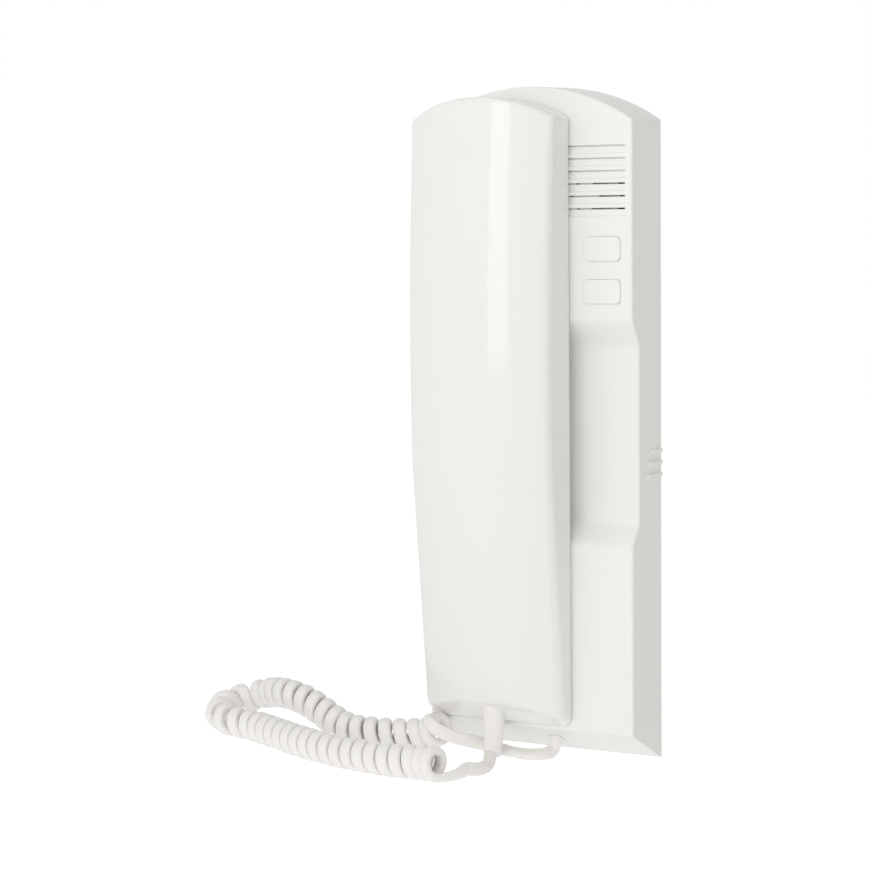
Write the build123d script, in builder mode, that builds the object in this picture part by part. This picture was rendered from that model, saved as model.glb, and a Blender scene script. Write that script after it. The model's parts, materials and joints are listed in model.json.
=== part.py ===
from build123d import *
import math
import os

import numpy as np

# Wall intercom with a corded handset, unit millimetres
# X to the viewer's right, +Y into the wall, +Z up
# Origin in the middle between the two wall screws, on the back plane
# A depth counts from the wall plane towards the viewer, a height from the base's lower back edge

# Base housing
base_width = 74.0
base_side_height = 205.0
base_arch_rise = 11.2
base_depth = 21.4
base_draft = 0.6
base_wall = 2.2
base_rim_gap = 0.4
base_edge_round = 0.9
base_corner_round = 1.2
bevel_height = 10.8
mount_height = 108.0

# Finger recess across the base
recess_depth = 4.8
recess_round = 4.5
recess_ramp_low = 71.0
recess_floor_low = 77.7
recess_floor_high = 134.4
recess_ramp_high = 141.8

# Handset
handset_margin = 2.0
handset_bare_strip = 22.0
handset_width = base_width - handset_margin - handset_bare_strip
handset_middle = (handset_margin - handset_bare_strip) / 2
handset_gap = 0.5
handset_wall = 2.2
handset_edge_depth = 36.5
handset_edge_peak = 130.0
handset_brow_radius = 850.0
handset_chin_height = 95.0
handset_chin_slope = 0.108
handset_crown = 6.7
handset_side_height = 205.5
handset_arch_rise = 6.5
handset_corner_round = 1.0
handset_side_round = 1.7
handset_foot_height = 12.0
handset_foot_slope = 0.67
rear_cover_thickness = 2.0

# Clearances
sliding_gap = 0.3
fitting_gap = 0.2
button_gap = 0.15
running_gap = 0.1
overrun = 5.0

# Louvres in front of the call speaker
louvre_count = 6
louvre_top = 196.5
louvre_pitch = 3.9
louvre_margin = 3.0
louvre_width = 22.0
louvre_right = base_width / 2 - louvre_margin
louvre_left = louvre_right - louvre_width
louvre_slot = 0.5
louvre_strip = 2.1
louvre_strip_depth = 0.5
louvre_chamfer = 0.4
louvre_closed_count = 3
louvre_closed_depth = 0.7
louvre_web = 0.6

# Push-buttons
button_inset = 10.8
button_middle = base_width / 2 - button_inset
button_width = 12.4
button_height = 7.5
button_raised = 0.8
button_corner = 1.6
button_edge = 0.7
button_upper_height = 164.45
button_lower_height = 151.1
button_flange = 1.0
button_flange_thickness = 1.2
button_stem_radius = 2.0
button_travel = 0.5
button_guide_wall = 1.0

# Side ribs
rib_heights = (100.1, 96.3, 92.4)
rib_lengths = (6.8, 8.9, 10.7)
rib_height = 1.2
rib_proud = 0.5

# Wall plate
plate_thickness = 2.0
wall_screw_radius = 2.25
wall_screw_spacing = 156.0
cable_entry_width = 24.0
cable_entry_height = 16.0
cable_entry_middle = 74.0
snap_heights = (46.0, 150.0)
snap_width = 6.0
snap_thickness = 1.2
snap_nose = 0.7
snap_length = 4.6

# Circuit board
board_depth = 6.0
board_thickness = 1.6
board_margin = 6.0
board_half_width = base_width / 2 - board_margin
board_low = 91.0
board_high = 169.0
board_hole_inset = 3.5
board_screw_drop = 31.5
standoff_radius = 3.2
screw_head_radius = 2.5
screw_head_thickness = 1.6
screw_shank_radius = 1.25

# Terminal block
terminal_width = 20.0
terminal_height = 8.0
terminal_depth = 6.4
terminal_middle = 0.0
terminal_level = 99.0
terminal_count = 4
terminal_screw_radius = 1.5
terminal_screw_proud = 0.2

# Tact switches
tact_size = 6.0
tact_body = 2.6
tact_knob_radius = 1.6

# Hook plunger, its spring and its switch
plunger_radius = 3.0
plunger_pin_radius = 1.5
plunger_flange_radius = 5.0
plunger_flange_thickness = 1.5
plunger_travel = 3.0
plunger_pin_length = 9.0
plunger_arm_length = 11.0
plunger_arm_width = 4.0
spring_radius = 3.3
spring_wire_radius = 0.35
spring_turns = 5
hook_switch_width = 10.0
hook_switch_height = 6.4
hook_switch_body = 5.2
hook_switch_knob_radius = 1.0

# Hooks that carry the handset
hook_heights = (160.0, 50.0)
hook_width = 12.0
hook_thickness = 4.0
hook_reach = 6.0
hook_slot_gap = 0.4
lift_angle = 31.0

# Call speaker
speaker_inset = 17.0
speaker_middle = base_width / 2 - speaker_inset
speaker_height = 181.0
speaker_radius = 10.0
speaker_rim_thickness = 2.0
speaker_magnet_radius = 6.5
speaker_magnet_thickness = 3.0
speaker_cone_radius = 4.6
speaker_cone_drop = 0.9
speaker_ring_wall = 1.0
retainer_thickness = 1.2
retainer_tab = 5.0
retainer_angle = 60.0
retainer_screw_head_radius = 2.0
retainer_screw_head_thickness = 1.2
retainer_screw_radius = 1.0

# Parts in the handset
earpiece_height = 183.0
earpiece_radius = 15.0
earpiece_rim_thickness = 2.5
earpiece_magnet_radius = 8.0
earpiece_magnet_thickness = 4.5
gasket_thickness = 0.8
gasket_width = 2.0
ear_hole_radius = 1.0
ear_hole_ring = 6.0
ear_hole_count = 8
microphone_height = 36.0
microphone_radius = 4.85
microphone_thickness = 4.5
microphone_sleeve = 1.2
microphone_hole_radius = 1.2
weight_width = 16.0
weight_height = 34.0
weight_depth = 7.0
weight_middle = 102.0
handset_screw_heights = (134.0, 70.0)
handset_screw_radius = 1.4
handset_screw_head_radius = 2.6
handset_screw_head = 1.5
handset_screw_length = 12.0
handset_boss_radius = 3.6

# Cord
cord_radius = 1.75
coil_radius = 3.45
coil_turns = 42.5
coil_pitch = 4.65
coil_loop_pitch = 7.4
coil_open_pitch = 20.0
coil_ramp = 11.0
coil_loop_share = (0.36, 0.56)
coil_fade_share = 0.05
boot_tip_radius = 2.3
boot_neck_radius = 3.4
boot_ear_width = 12.0
boot_ear_depth = 5.6
boot_ear_thickness = 1.5
boot_height = 15.0
boot_tip_height = 7.25
boot_depth = 27.5
grommet_radius = 2.6
grommet_flange_radius = 4.2
grommet_flange_thickness = 1.4
grommet_length = 4.4
outlet_middle = 5.0
outlet_depth = 12.0
arc_share = 0.45

# Derived places
foot = -mount_height
bevel_slope = bevel_height / base_depth
front_inside = base_depth - base_wall
recess_floor = base_depth - recess_depth
recess_turn = math.atan2(recess_depth, recess_ramp_high - recess_floor_high)
plunger_floor = recess_ramp_high + base_wall + recess_round * math.tan(recess_turn / 2)
plunger_height = plunger_floor + plunger_flange_radius
handset_back = base_depth + handset_gap
board_front = board_depth + board_thickness
lift = Vector(0, -math.cos(math.radians(lift_angle)), math.sin(math.radians(lift_angle)))

# The cord's route: X, Y and the height above the table of its middle line
base_lead_route = [
    (3.9, -19.0, 1.75), (0.2, -22.4, 1.75), (-5.4, -23.4, 1.75), (-11.4, -23.2, 2.2), (-16.4, -23.6, 3.2),
]
coil_route = [
    (-16.4, -23.6, 3.2), (-19.4, -23.84, 3.8), (-22.4, -24.08, 4.4), (-30.5, -25.6, 5.6),
    (-40.0, -26.8, 5.3), (-49.0, -28.5, 5.2), (-57.0, -29.6, 5.2), (-65.0, -29.0, 5.6),
    (-72.5, -27.2, 8.6), (-80.5, -25.4, 12.2), (-89.5, -23.5, 14.0), (-98.0, -19.5, 13.4),
    (-105.0, -13.8, 11.4), (-114.0, -13.0, 9.2), (-118.5, -21.0, 7.6), (-115.5, -30.0, 6.4),
    (-106.5, -35.6, 5.3), (-96.0, -37.0, 5.2), (-82.0, -44.5, 5.2), (-66.0, -53.0, 5.2),
    (-50.0, -59.0, 5.2), (-35.0, -62.3, 5.2), (-23.5, -64.3, 5.45), (-15.0, -64.0, 5.15),
    (-10.37, -60.77, 3.63), (-7.21, -57.0, 2.66), (-6.2, -55.8, 2.35),
]
handset_lead_route = [
    (-6.2, -55.8, 2.35), (-4.25, -53.475, 1.75), (-3.9, -48.4, 1.75), (-5.6, -42.8, 1.75),
    (-7.6, -38.0, 1.75), (-9.2, -33.8, 1.75), (-9.8, -29.8, 1.75), (-10.0, -27.5, 4.05), (-10.0, -27.5, 7.25),
]

os.makedirs("parts", exist_ok=True)


def arched(plane, half_width, low, shoulder, peak, corner):
    """Outline with straight sides, rounded shoulders and an arched top."""
    with BuildSketch(plane) as outline:
        with BuildLine():
            Polyline((-half_width, shoulder), (-half_width, low), (half_width, low), (half_width, shoulder))
            ThreePointArc((half_width, shoulder), (0, peak), (-half_width, shoulder))
        make_face()
        fillet(outline.vertices().group_by(Axis.Y)[-1], corner)
    return outline.sketch


def side_profile(points, rounded=(), radius=0):
    """Closed outline in depth and height, with the numbered corners rounded."""
    with BuildSketch(Plane.YZ) as profile:
        with BuildLine():
            Polyline(*[(-depth, foot + height) for depth, height in points], close=True)
        make_face()
        if rounded:
            corners = [Vector(0, -points[i][0], foot + points[i][1]) for i in rounded]
            places = [Plane.YZ.to_local_coords(corner) for corner in corners]
            near = [v for v in profile.vertices() for p in places if (v.center() - p).length < radius / 2]
            fillet(near, radius)
    return profile.sketch


def facing(depth, middle=0, height=0):
    """Plane that faces the viewer at a depth, centred at a place in X and height."""
    return Plane(origin=(middle, -depth, foot + height), x_dir=(1, 0, 0), z_dir=(0, -1, 0))


def save(piece, name):
    """Label a finished piece and write it."""
    piece.part.label = name
    export_step(piece.part, f"parts/{name}.step")


# Base cover
def base_outline(depth, inset):
    """Outline of the base at a depth, moved inwards."""
    drawn_in = inset + base_draft * depth / base_depth
    return arched(
        facing(depth), base_width / 2 - drawn_in, -overrun, base_side_height - drawn_in,
        base_side_height + base_arch_rise - drawn_in, base_corner_round,
    )


def base_profile(inset, back):
    """Side view of the base with its bevel and recess, moved inwards."""
    bevel_inset = inset * math.sqrt(1 + bevel_slope**2)
    front = base_depth - inset
    floor = recess_floor - inset
    top = base_side_height + base_arch_rise + overrun
    points = [
        (back, bevel_slope * back + bevel_inset), (front, bevel_slope * front + bevel_inset),
        (front, recess_ramp_low - inset), (floor, recess_floor_low - inset),
        (floor, recess_floor_high + inset), (front, recess_ramp_high + inset), (front, top), (back, top),
    ]
    return side_profile(points, (2, 3, 4, 5), recess_round)


with BuildPart() as base_form:
    extrude(base_profile(0, base_rim_gap), amount=base_width, both=True)
    loft([base_outline(base_rim_gap, 0), base_outline(base_depth, 0)], ruled=True, mode=Mode.INTERSECT)
    outer_edges = base_form.edges().filter_by(lambda e: e.center().Y < -base_depth + base_draft)
    side_edges = outer_edges.filter_by(Axis.X, reverse=True)
    fillet(side_edges, base_edge_round)

with BuildPart() as base_hollow:
    extrude(base_profile(base_wall, -overrun), amount=base_width, both=True)
    loft([base_outline(0, base_wall), base_outline(base_depth, base_wall)], ruled=True, mode=Mode.INTERSECT)

outlet_height = bevel_slope * outlet_depth
outlet_direction = Vector(0, -bevel_slope, -1).normalized()
outlet_place = Vector(outlet_middle, -outlet_depth, foot + outlet_height)
outlet_plane = Plane(origin=outlet_place, x_dir=(1, 0, 0), z_dir=outlet_direction)
button_heights = {"button_upper": button_upper_height, "button_lower": button_lower_height}
plunger_front = handset_back - sliding_gap
plunger_back = front_inside - plunger_travel - sliding_gap - plunger_flange_thickness
hook_planes = [
    Plane(origin=(handset_middle, -front_inside, foot + height), x_dir=(1, 0, 0), z_dir=lift)
    for height in hook_heights
]
speaker_seat = front_inside - sliding_gap
louvre_web_back = base_depth - louvre_strip_depth - louvre_web
speaker_cone_rise = louvre_web_back - fitting_gap - speaker_seat + speaker_cone_drop
retainer_depth = speaker_seat - speaker_rim_thickness - retainer_thickness
snap_post = base_width / 2 - base_wall - base_draft - snap_nose - sliding_gap

with BuildPart() as base_cover:
    add(base_form.part)
    add(base_hollow.part, mode=Mode.SUBTRACT)
    # Guide round each button and ring round the speaker
    for height in button_heights.values():
        with BuildSketch(facing(front_inside + base_wall / 2, button_middle, height)):
            Rectangle(
                button_width + 2 * (button_flange + sliding_gap + button_guide_wall),
                button_height + 2 * (button_flange + sliding_gap + button_guide_wall),
            )
            Rectangle(
                button_width + 2 * (button_flange + sliding_gap),
                button_height + 2 * (button_flange + sliding_gap),
                mode=Mode.SUBTRACT,
            )
        extrude(amount=-base_wall / 2 - button_flange_thickness - button_travel - 2 * sliding_gap)
    with BuildSketch(facing(front_inside, speaker_middle, speaker_height)):
        Circle(speaker_radius + fitting_gap + speaker_ring_wall)
        with PolarLocations(speaker_radius + retainer_tab / 2, 2, retainer_angle):
            Circle(retainer_tab / 2)
        Circle(speaker_radius + fitting_gap, mode=Mode.SUBTRACT)
    extrude(amount=-sliding_gap - speaker_rim_thickness)
    # Ledges behind which the wall plate snaps
    for side in (-1, 1):
        for height in snap_heights:
            ledge_plane = facing(plate_thickness + sliding_gap, side * base_width / 2, height)
            with BuildSketch(ledge_plane):
                with Locations((-side * (base_width / 2 - snap_post - sliding_gap) / 2, 0)):
                    Rectangle(base_width / 2 - snap_post - sliding_gap, snap_width)
            extrude(amount=snap_length - snap_thickness - 2 * sliding_gap)
    add(base_form.part, mode=Mode.INTERSECT)
    # Ribs on the right side
    for height, length in zip(rib_heights, rib_lengths):
        with BuildSketch(facing(base_rim_gap, base_width / 2, height)):
            with Locations((-base_wall / 2 + rib_proud, 0)):
                Rectangle(base_wall, rib_height)
        extrude(amount=length)
    # Hooks for the handset
    for plane in hook_planes:
        with BuildSketch(plane):
            Rectangle(hook_width, hook_thickness)
        extrude(amount=(base_wall + handset_gap + hook_reach) / -lift.Y)
    # Windows of the buttons
    for height in button_heights.values():
        with BuildSketch(facing(base_depth + overrun, button_middle, height)):
            RectangleRounded(button_width + 2 * button_gap, button_height + 2 * button_gap, button_corner)
        extrude(amount=-base_wall - 2 * overrun, mode=Mode.SUBTRACT)
    # Plunger hole, speaker screw holes and cord outlet
    with Locations(facing(base_depth, handset_middle, plunger_height)):
        Cylinder(plunger_radius + running_gap, 2 * (base_wall + overrun), mode=Mode.SUBTRACT)
    with Locations(facing(retainer_depth + retainer_thickness, speaker_middle, speaker_height)):
        with PolarLocations(speaker_radius + retainer_tab / 2, 2, retainer_angle):
            Cylinder(
                retainer_screw_radius, speaker_rim_thickness + base_wall / 2,
                align=(Align.CENTER, Align.CENTER, Align.MIN), mode=Mode.SUBTRACT,
            )
    with Locations(outlet_plane):
        Cylinder(grommet_radius + fitting_gap / 2, 2 * (base_wall + overrun), mode=Mode.SUBTRACT)
    # Pocket for the speaker's cap behind the louvres
    with Locations(facing(louvre_web_back, speaker_middle, speaker_height)):
        Cylinder(
            speaker_cone_radius + fitting_gap, base_wall,
            align=(Align.CENTER, Align.CENTER, Align.MAX), mode=Mode.SUBTRACT,
        )
    # Louvres: a thin blind slot above a shallow strip
    for step in range(louvre_count):
        slot = louvre_top - step * louvre_pitch
        slot_floor = base_depth - louvre_strip_depth - louvre_closed_depth
        with BuildSketch(Plane.YZ.offset(louvre_left)):
            with BuildLine():
                Polyline(
                    (-base_depth - louvre_chamfer, foot + slot + louvre_slot / 2),
                    (-base_depth - louvre_chamfer, foot + slot - louvre_strip - 2 * louvre_chamfer),
                    (-base_depth + louvre_strip_depth, foot + slot - louvre_strip),
                    (-base_depth + louvre_strip_depth, foot + slot - louvre_slot / 2),
                    (-slot_floor, foot + slot - louvre_slot / 2),
                    (-slot_floor, foot + slot + louvre_slot / 2),
                    close=True,
                )
            make_face()
        extrude(amount=louvre_right - louvre_left, mode=Mode.SUBTRACT)
    # The lower slots go through the wall from the pocket's left edge to the right
    for step in range(louvre_closed_count, louvre_count):
        slot = louvre_top - step * louvre_pitch
        pocket_chord = math.sqrt((speaker_cone_radius + fitting_gap) ** 2 - (slot - speaker_height) ** 2)
        open_left = speaker_middle - pocket_chord - sliding_gap
        with Locations(facing(base_depth, (open_left + louvre_right) / 2, slot)):
            Box(louvre_right - open_left, louvre_slot, 2 * base_wall, mode=Mode.SUBTRACT)
save(base_cover, "base_cover")

# Wall plate
plate_half_width = base_width / 2 - base_wall - base_draft - sliding_gap
plate_low = base_wall * math.sqrt(1 + bevel_slope**2) + bevel_slope * plate_thickness + sliding_gap
plate_drop = base_wall + base_draft + sliding_gap
snap_nose_depth = plate_thickness + snap_length - snap_thickness
board_screw_high = board_high - board_hole_inset
board_screw_low = board_low + board_hole_inset
board_screw_side = board_half_width - board_hole_inset
board_holes = [
    (-board_screw_side, board_screw_high), (board_screw_side, board_screw_high - board_screw_drop),
    (-board_screw_side, board_screw_low), (board_screw_side, board_screw_low),
]
wall_screw_places = [(0, mount_height - wall_screw_spacing / 2), (0, mount_height + wall_screw_spacing / 2)]

with BuildPart() as wall_plate:
    plate_outline = arched(
        Plane.XZ, plate_half_width, foot + plate_low, foot + base_side_height - plate_drop,
        foot + base_side_height + base_arch_rise - plate_drop, base_corner_round,
    )
    extrude(plate_outline, amount=plate_thickness)
    with BuildSketch(facing(plate_thickness / 2)):
        with Locations(*board_holes):
            Circle(standoff_radius)
    extrude(amount=board_depth - plate_thickness / 2)
    # Snap posts with their noses
    for side in (-1, 1):
        for height in snap_heights:
            with BuildSketch(facing(plate_thickness / 2, side * snap_post, height)):
                with Locations((-side * snap_thickness / 2, 0)):
                    Rectangle(snap_thickness, snap_width)
            extrude(amount=snap_length + plate_thickness / 2)
            with BuildSketch(facing(snap_nose_depth, side * snap_post, height)):
                with Locations((side * (snap_nose - snap_thickness) / 2, 0)):
                    Rectangle(snap_thickness + snap_nose, snap_width)
            extrude(amount=snap_thickness)
    with BuildSketch(facing(board_depth + overrun)):
        with Locations(*board_holes):
            Circle(screw_shank_radius)
        with Locations(*wall_screw_places):
            Circle(wall_screw_radius)
        with Locations((0, cable_entry_middle)):
            Rectangle(cable_entry_width, cable_entry_height)
    extrude(amount=-board_depth - 2 * overrun, mode=Mode.SUBTRACT)
save(wall_plate, "wall_plate")

# Circuit board
with BuildPart() as circuit_board:
    with BuildSketch(facing(board_depth)):
        with Locations((0, (board_low + board_high) / 2)):
            Rectangle(2 * board_half_width, board_high - board_low)
        with Locations(*board_holes):
            Circle(screw_shank_radius + fitting_gap, mode=Mode.SUBTRACT)
        with Locations((handset_middle, plunger_height)):
            Circle(plunger_pin_radius + fitting_gap, mode=Mode.SUBTRACT)
    extrude(amount=board_thickness)
save(circuit_board, "circuit_board")

with BuildPart() as board_screws:
    with Locations(facing(board_front)):
        with Locations(*board_holes):
            Cylinder(screw_head_radius, screw_head_thickness, align=(Align.CENTER, Align.CENTER, Align.MIN))
            Cylinder(
                screw_shank_radius, board_front - plate_thickness,
                align=(Align.CENTER, Align.CENTER, Align.MAX),
            )
save(board_screws, "board_screws")

# Terminal block with its screws
terminal_pitch = terminal_width / terminal_count

with BuildPart() as terminal_block:
    with BuildSketch(facing(board_front, terminal_middle, terminal_level)):
        Rectangle(terminal_width, terminal_height)
    extrude(amount=terminal_depth)
    with Locations(facing(board_front + terminal_depth, terminal_middle, terminal_level)):
        with GridLocations(terminal_pitch, terminal_pitch, terminal_count, 1):
            Hole(terminal_screw_radius + running_gap, terminal_depth / 2)
    terminal_foot = foot + terminal_level - terminal_height / 2
    with Locations(Plane(
        origin=(terminal_middle, -board_front - terminal_depth / 3, terminal_foot),
        x_dir=(1, 0, 0), z_dir=(0, 0, -1),
    )):
        with GridLocations(terminal_pitch, terminal_pitch, terminal_count, 1):
            Hole(terminal_screw_radius, terminal_height / 3)
save(terminal_block, "terminal_block")

with BuildPart() as terminal_screws:
    with Locations(facing(board_front + terminal_depth / 2, terminal_middle, terminal_level)):
        with GridLocations(terminal_pitch, terminal_pitch, terminal_count, 1):
            Cylinder(
                terminal_screw_radius, terminal_depth / 2 - terminal_screw_proud,
                align=(Align.CENTER, Align.CENTER, Align.MIN),
            )
save(terminal_screws, "terminal_screws")

# Tact switches
button_stem_end = board_front + tact_body + button_travel + 2 * sliding_gap + tact_knob_radius / 2

with BuildPart() as tact_switches:
    for height in button_heights.values():
        with BuildSketch(facing(board_front, button_middle, height)):
            Rectangle(tact_size, tact_size)
        extrude(amount=tact_body)
        with BuildSketch(facing(board_front + tact_body, button_middle, height)):
            Circle(tact_knob_radius)
        extrude(amount=tact_knob_radius / 2)
save(tact_switches, "tact_switches")

# Push-buttons
for name, height in button_heights.items():
    flange_front = front_inside - sliding_gap
    flange_back = flange_front - button_flange_thickness
    with BuildPart() as button:
        with BuildSketch(facing(flange_front - button_flange_thickness / 2, button_middle, height)):
            RectangleRounded(button_width, button_height, button_corner)
        extrude(amount=base_depth + button_raised - flange_front + button_flange_thickness / 2)
        fillet(button.faces().sort_by(Axis.Y)[0].edges(), button_edge)
        with BuildSketch(facing(flange_back, button_middle, height)):
            Rectangle(button_width + 2 * button_flange, button_height + 2 * button_flange)
        extrude(amount=button_flange_thickness)
        with BuildSketch(facing(flange_back, button_middle, height)):
            Circle(button_stem_radius)
        extrude(amount=button_stem_end - flange_back)
    save(button, name)

# Hook plunger, spring and switch
with BuildPart() as hook_plunger:
    with BuildSketch(facing(plunger_back, handset_middle, plunger_height)):
        Circle(plunger_flange_radius)
        with Locations((-plunger_arm_length / 2, 0)):
            Rectangle(plunger_arm_length, plunger_arm_width)
    extrude(amount=plunger_flange_thickness)
    with BuildSketch(facing(plunger_back, handset_middle, plunger_height)):
        Circle(plunger_radius)
    extrude(amount=plunger_front - plunger_back)
    with BuildSketch(facing(plunger_back, handset_middle, plunger_height)):
        Circle(plunger_pin_radius)
    extrude(amount=-plunger_pin_length)
    fillet(hook_plunger.faces().sort_by(Axis.Y)[0].edges(), plunger_radius / 3)
save(hook_plunger, "hook_plunger")

switch_middle = handset_middle - plunger_arm_length
with BuildPart() as hook_switch:
    with BuildSketch(facing(board_front, switch_middle, plunger_height)):
        Rectangle(hook_switch_width, hook_switch_height)
    extrude(amount=hook_switch_body)
    knob_middle = switch_middle + hook_switch_width / 3
    with BuildSketch(facing(board_front + hook_switch_body, knob_middle, plunger_height)):
        Circle(hook_switch_knob_radius)
    extrude(amount=plunger_back - sliding_gap - board_front - hook_switch_body)
save(hook_switch, "hook_switch")


# Wound wire: arcs in pairs through points with known directions
straight_share = 1e-6
neighbour_radii = 5
spring_checks = 40
axis_steps = 400
wire_steps = 4000


def biarc_joint(start, end, start_way, end_way):
    """Point where two arcs meet that leave one point and reach another in given ways, and the way there."""
    across = end - start
    ways = start_way + end_way
    spread = 2 * (1 - start_way.dot(end_way))
    along = across.dot(ways)
    reach = (math.sqrt(along * along + spread * across.dot(across)) - along) / spread
    leaving, arriving = start + start_way * reach, end - end_way * reach
    return (leaving + arriving) / 2, (arriving - leaving).normalized()


def wound_path(points, ways):
    """Path of tangent arcs through the points of a wound wire."""
    points = [Vector(*point) for point in points]
    ways = [Vector(*way) for way in ways]
    with BuildLine() as path:
        for start, end, start_way, end_way in zip(points, points[1:], ways, ways[1:]):
            if (start_way - end_way).length < straight_share:
                Line(start, end)
            else:
                joint, joint_way = biarc_joint(start, end, start_way, end_way)
                TangentArc(start, joint, tangent=start_way)
                TangentArc(joint, end, tangent=joint_way)
    return path.line


def least_gap(points, wire_radius):
    """Least gap between a wire's surface and itself, away from its own neighbourhood."""
    along = np.concatenate([[0], np.cumsum(np.linalg.norm(np.diff(points, axis=0), axis=1))])
    near = neighbour_radii * wire_radius
    gaps = [
        np.linalg.norm(points[np.abs(along - place) > near] - point, axis=1).min()
        for place, point in zip(along, points)
    ]
    return min(gaps) - 2 * wire_radius


def smooth(share):
    """Smooth step from 0 to 1."""
    share = np.clip(share, 0, 1)
    return share * share * (3 - 2 * share)


spring_start = board_front + spring_wire_radius + running_gap
spring_pitch = (plunger_back - board_front - 2 * (spring_wire_radius + running_gap)) / spring_turns
spring_angles = np.linspace(0, 2 * math.pi * spring_turns, 4 * spring_turns + 1)


def spring_points(angles):
    """Points of the spring's wire and its directions at the angles."""
    rise = spring_start + spring_pitch * angles / (2 * math.pi)
    points = np.stack([
        handset_middle + spring_radius * np.cos(angles), -rise,
        foot + plunger_height + spring_radius * np.sin(angles),
    ], axis=1)
    climb = np.full_like(angles, -spring_pitch / (2 * math.pi))
    ways = np.stack([-spring_radius * np.sin(angles), climb, spring_radius * np.cos(angles)], axis=1)
    return points, ways / np.linalg.norm(ways, axis=1)[:, None]


with BuildPart() as hook_spring:
    spring_places, spring_ways = spring_points(spring_angles)
    with BuildSketch(Plane(origin=tuple(spring_places[0]), z_dir=tuple(spring_ways[0]))):
        Circle(spring_wire_radius)
    sweep(path=wound_path(spring_places, spring_ways))
save(hook_spring, "hook_spring")
fine_angles = np.linspace(0, spring_angles[-1], spring_checks * spring_turns)
spring_gap = least_gap(spring_points(fine_angles)[0], spring_wire_radius)
print("hook_spring least gap to itself", round(spring_gap, 2))

# Call speaker behind the louvres
with BuildPart() as call_speaker:
    with Locations(facing(speaker_seat - speaker_rim_thickness, speaker_middle, speaker_height)):
        Cylinder(speaker_radius, speaker_rim_thickness, align=(Align.CENTER, Align.CENTER, Align.MIN))
        Cylinder(
            speaker_magnet_radius, speaker_magnet_thickness, align=(Align.CENTER, Align.CENTER, Align.MAX)
        )
    with Locations(facing(speaker_seat - speaker_cone_drop, speaker_middle, speaker_height)):
        Cylinder(
            speaker_radius - speaker_ring_wall, speaker_cone_drop,
            align=(Align.CENTER, Align.CENTER, Align.MIN), mode=Mode.SUBTRACT,
        )
        Cylinder(
            speaker_cone_radius - fitting_gap, speaker_cone_rise,
            align=(Align.CENTER, Align.CENTER, Align.MIN),
        )
save(call_speaker, "call_speaker")

with BuildPart() as speaker_retainer:
    with BuildSketch(facing(retainer_depth, speaker_middle, speaker_height)):
        Circle(speaker_radius)
        SlotCenterToCenter(2 * speaker_radius + retainer_tab, retainer_tab, rotation=retainer_angle)
        Circle(speaker_magnet_radius + sliding_gap, mode=Mode.SUBTRACT)
        with PolarLocations(speaker_radius + retainer_tab / 2, 2, retainer_angle):
            Circle(retainer_screw_radius + running_gap, mode=Mode.SUBTRACT)
    extrude(amount=retainer_thickness)
save(speaker_retainer, "speaker_retainer")

with BuildPart() as retainer_screws:
    with Locations(facing(retainer_depth, speaker_middle, speaker_height)):
        with PolarLocations(speaker_radius + retainer_tab / 2, 2, retainer_angle):
            Cylinder(
                retainer_screw_head_radius, retainer_screw_head_thickness,
                align=(Align.CENTER, Align.CENTER, Align.MAX),
            )
            Cylinder(
                retainer_screw_radius, retainer_thickness + speaker_rim_thickness,
                align=(Align.CENTER, Align.CENTER, Align.MIN),
            )
save(retainer_screws, "retainer_screws")

# Grommet that holds the cord in the base
with BuildPart() as base_grommet:
    with Locations(outlet_plane):
        Cylinder(grommet_radius, grommet_length, align=(Align.CENTER, Align.CENTER, Align.MAX))
    with Locations(outlet_plane.offset(-base_wall - running_gap)):
        Cylinder(
            grommet_flange_radius, grommet_flange_thickness, align=(Align.CENTER, Align.CENTER, Align.MAX)
        )
save(base_grommet, "base_grommet")


# Handset shell
def edge_depth(height):
    """Depth of the handset's front corner at a height: a straight chin under a wide arc."""
    brow = handset_edge_depth - (height - handset_edge_peak) ** 2 / (2 * handset_brow_radius)
    knee = handset_edge_depth - (handset_chin_height - handset_edge_peak) ** 2 / (2 * handset_brow_radius)
    chin = knee - handset_chin_slope * (handset_chin_height - height)
    return brow if height > handset_chin_height else chin


def handset_section(height, inset):
    """Cross-section of the handset at a height: flat back, square sides and a crowned front."""
    side = handset_width / 2 - inset
    corner = edge_depth(height) - inset
    crown = handset_crown * (side / (handset_width / 2)) ** 2
    back = handset_back - (overrun if inset else 0)
    with BuildSketch(Plane(origin=(handset_middle, 0, foot + height))) as section:
        with BuildLine():
            Polyline((-side, -corner), (-side, -back), (side, -back), (side, -corner))
            ThreePointArc((side, -corner), (0, -corner - crown), (-side, -corner))
        make_face()
        fillet(
            section.vertices().filter_by(lambda v: abs(v.Y + corner) < handset_side_round / 2),
            handset_side_round - inset / 2,
        )
    return section.sketch


section_reach = 110.0
section_shares = (-0.84, -0.56, -0.28, -0.1, 0.1, 0.28, 0.52, 0.8, 1.12)
section_heights = [handset_chin_height + section_reach * share for share in section_shares]


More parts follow.
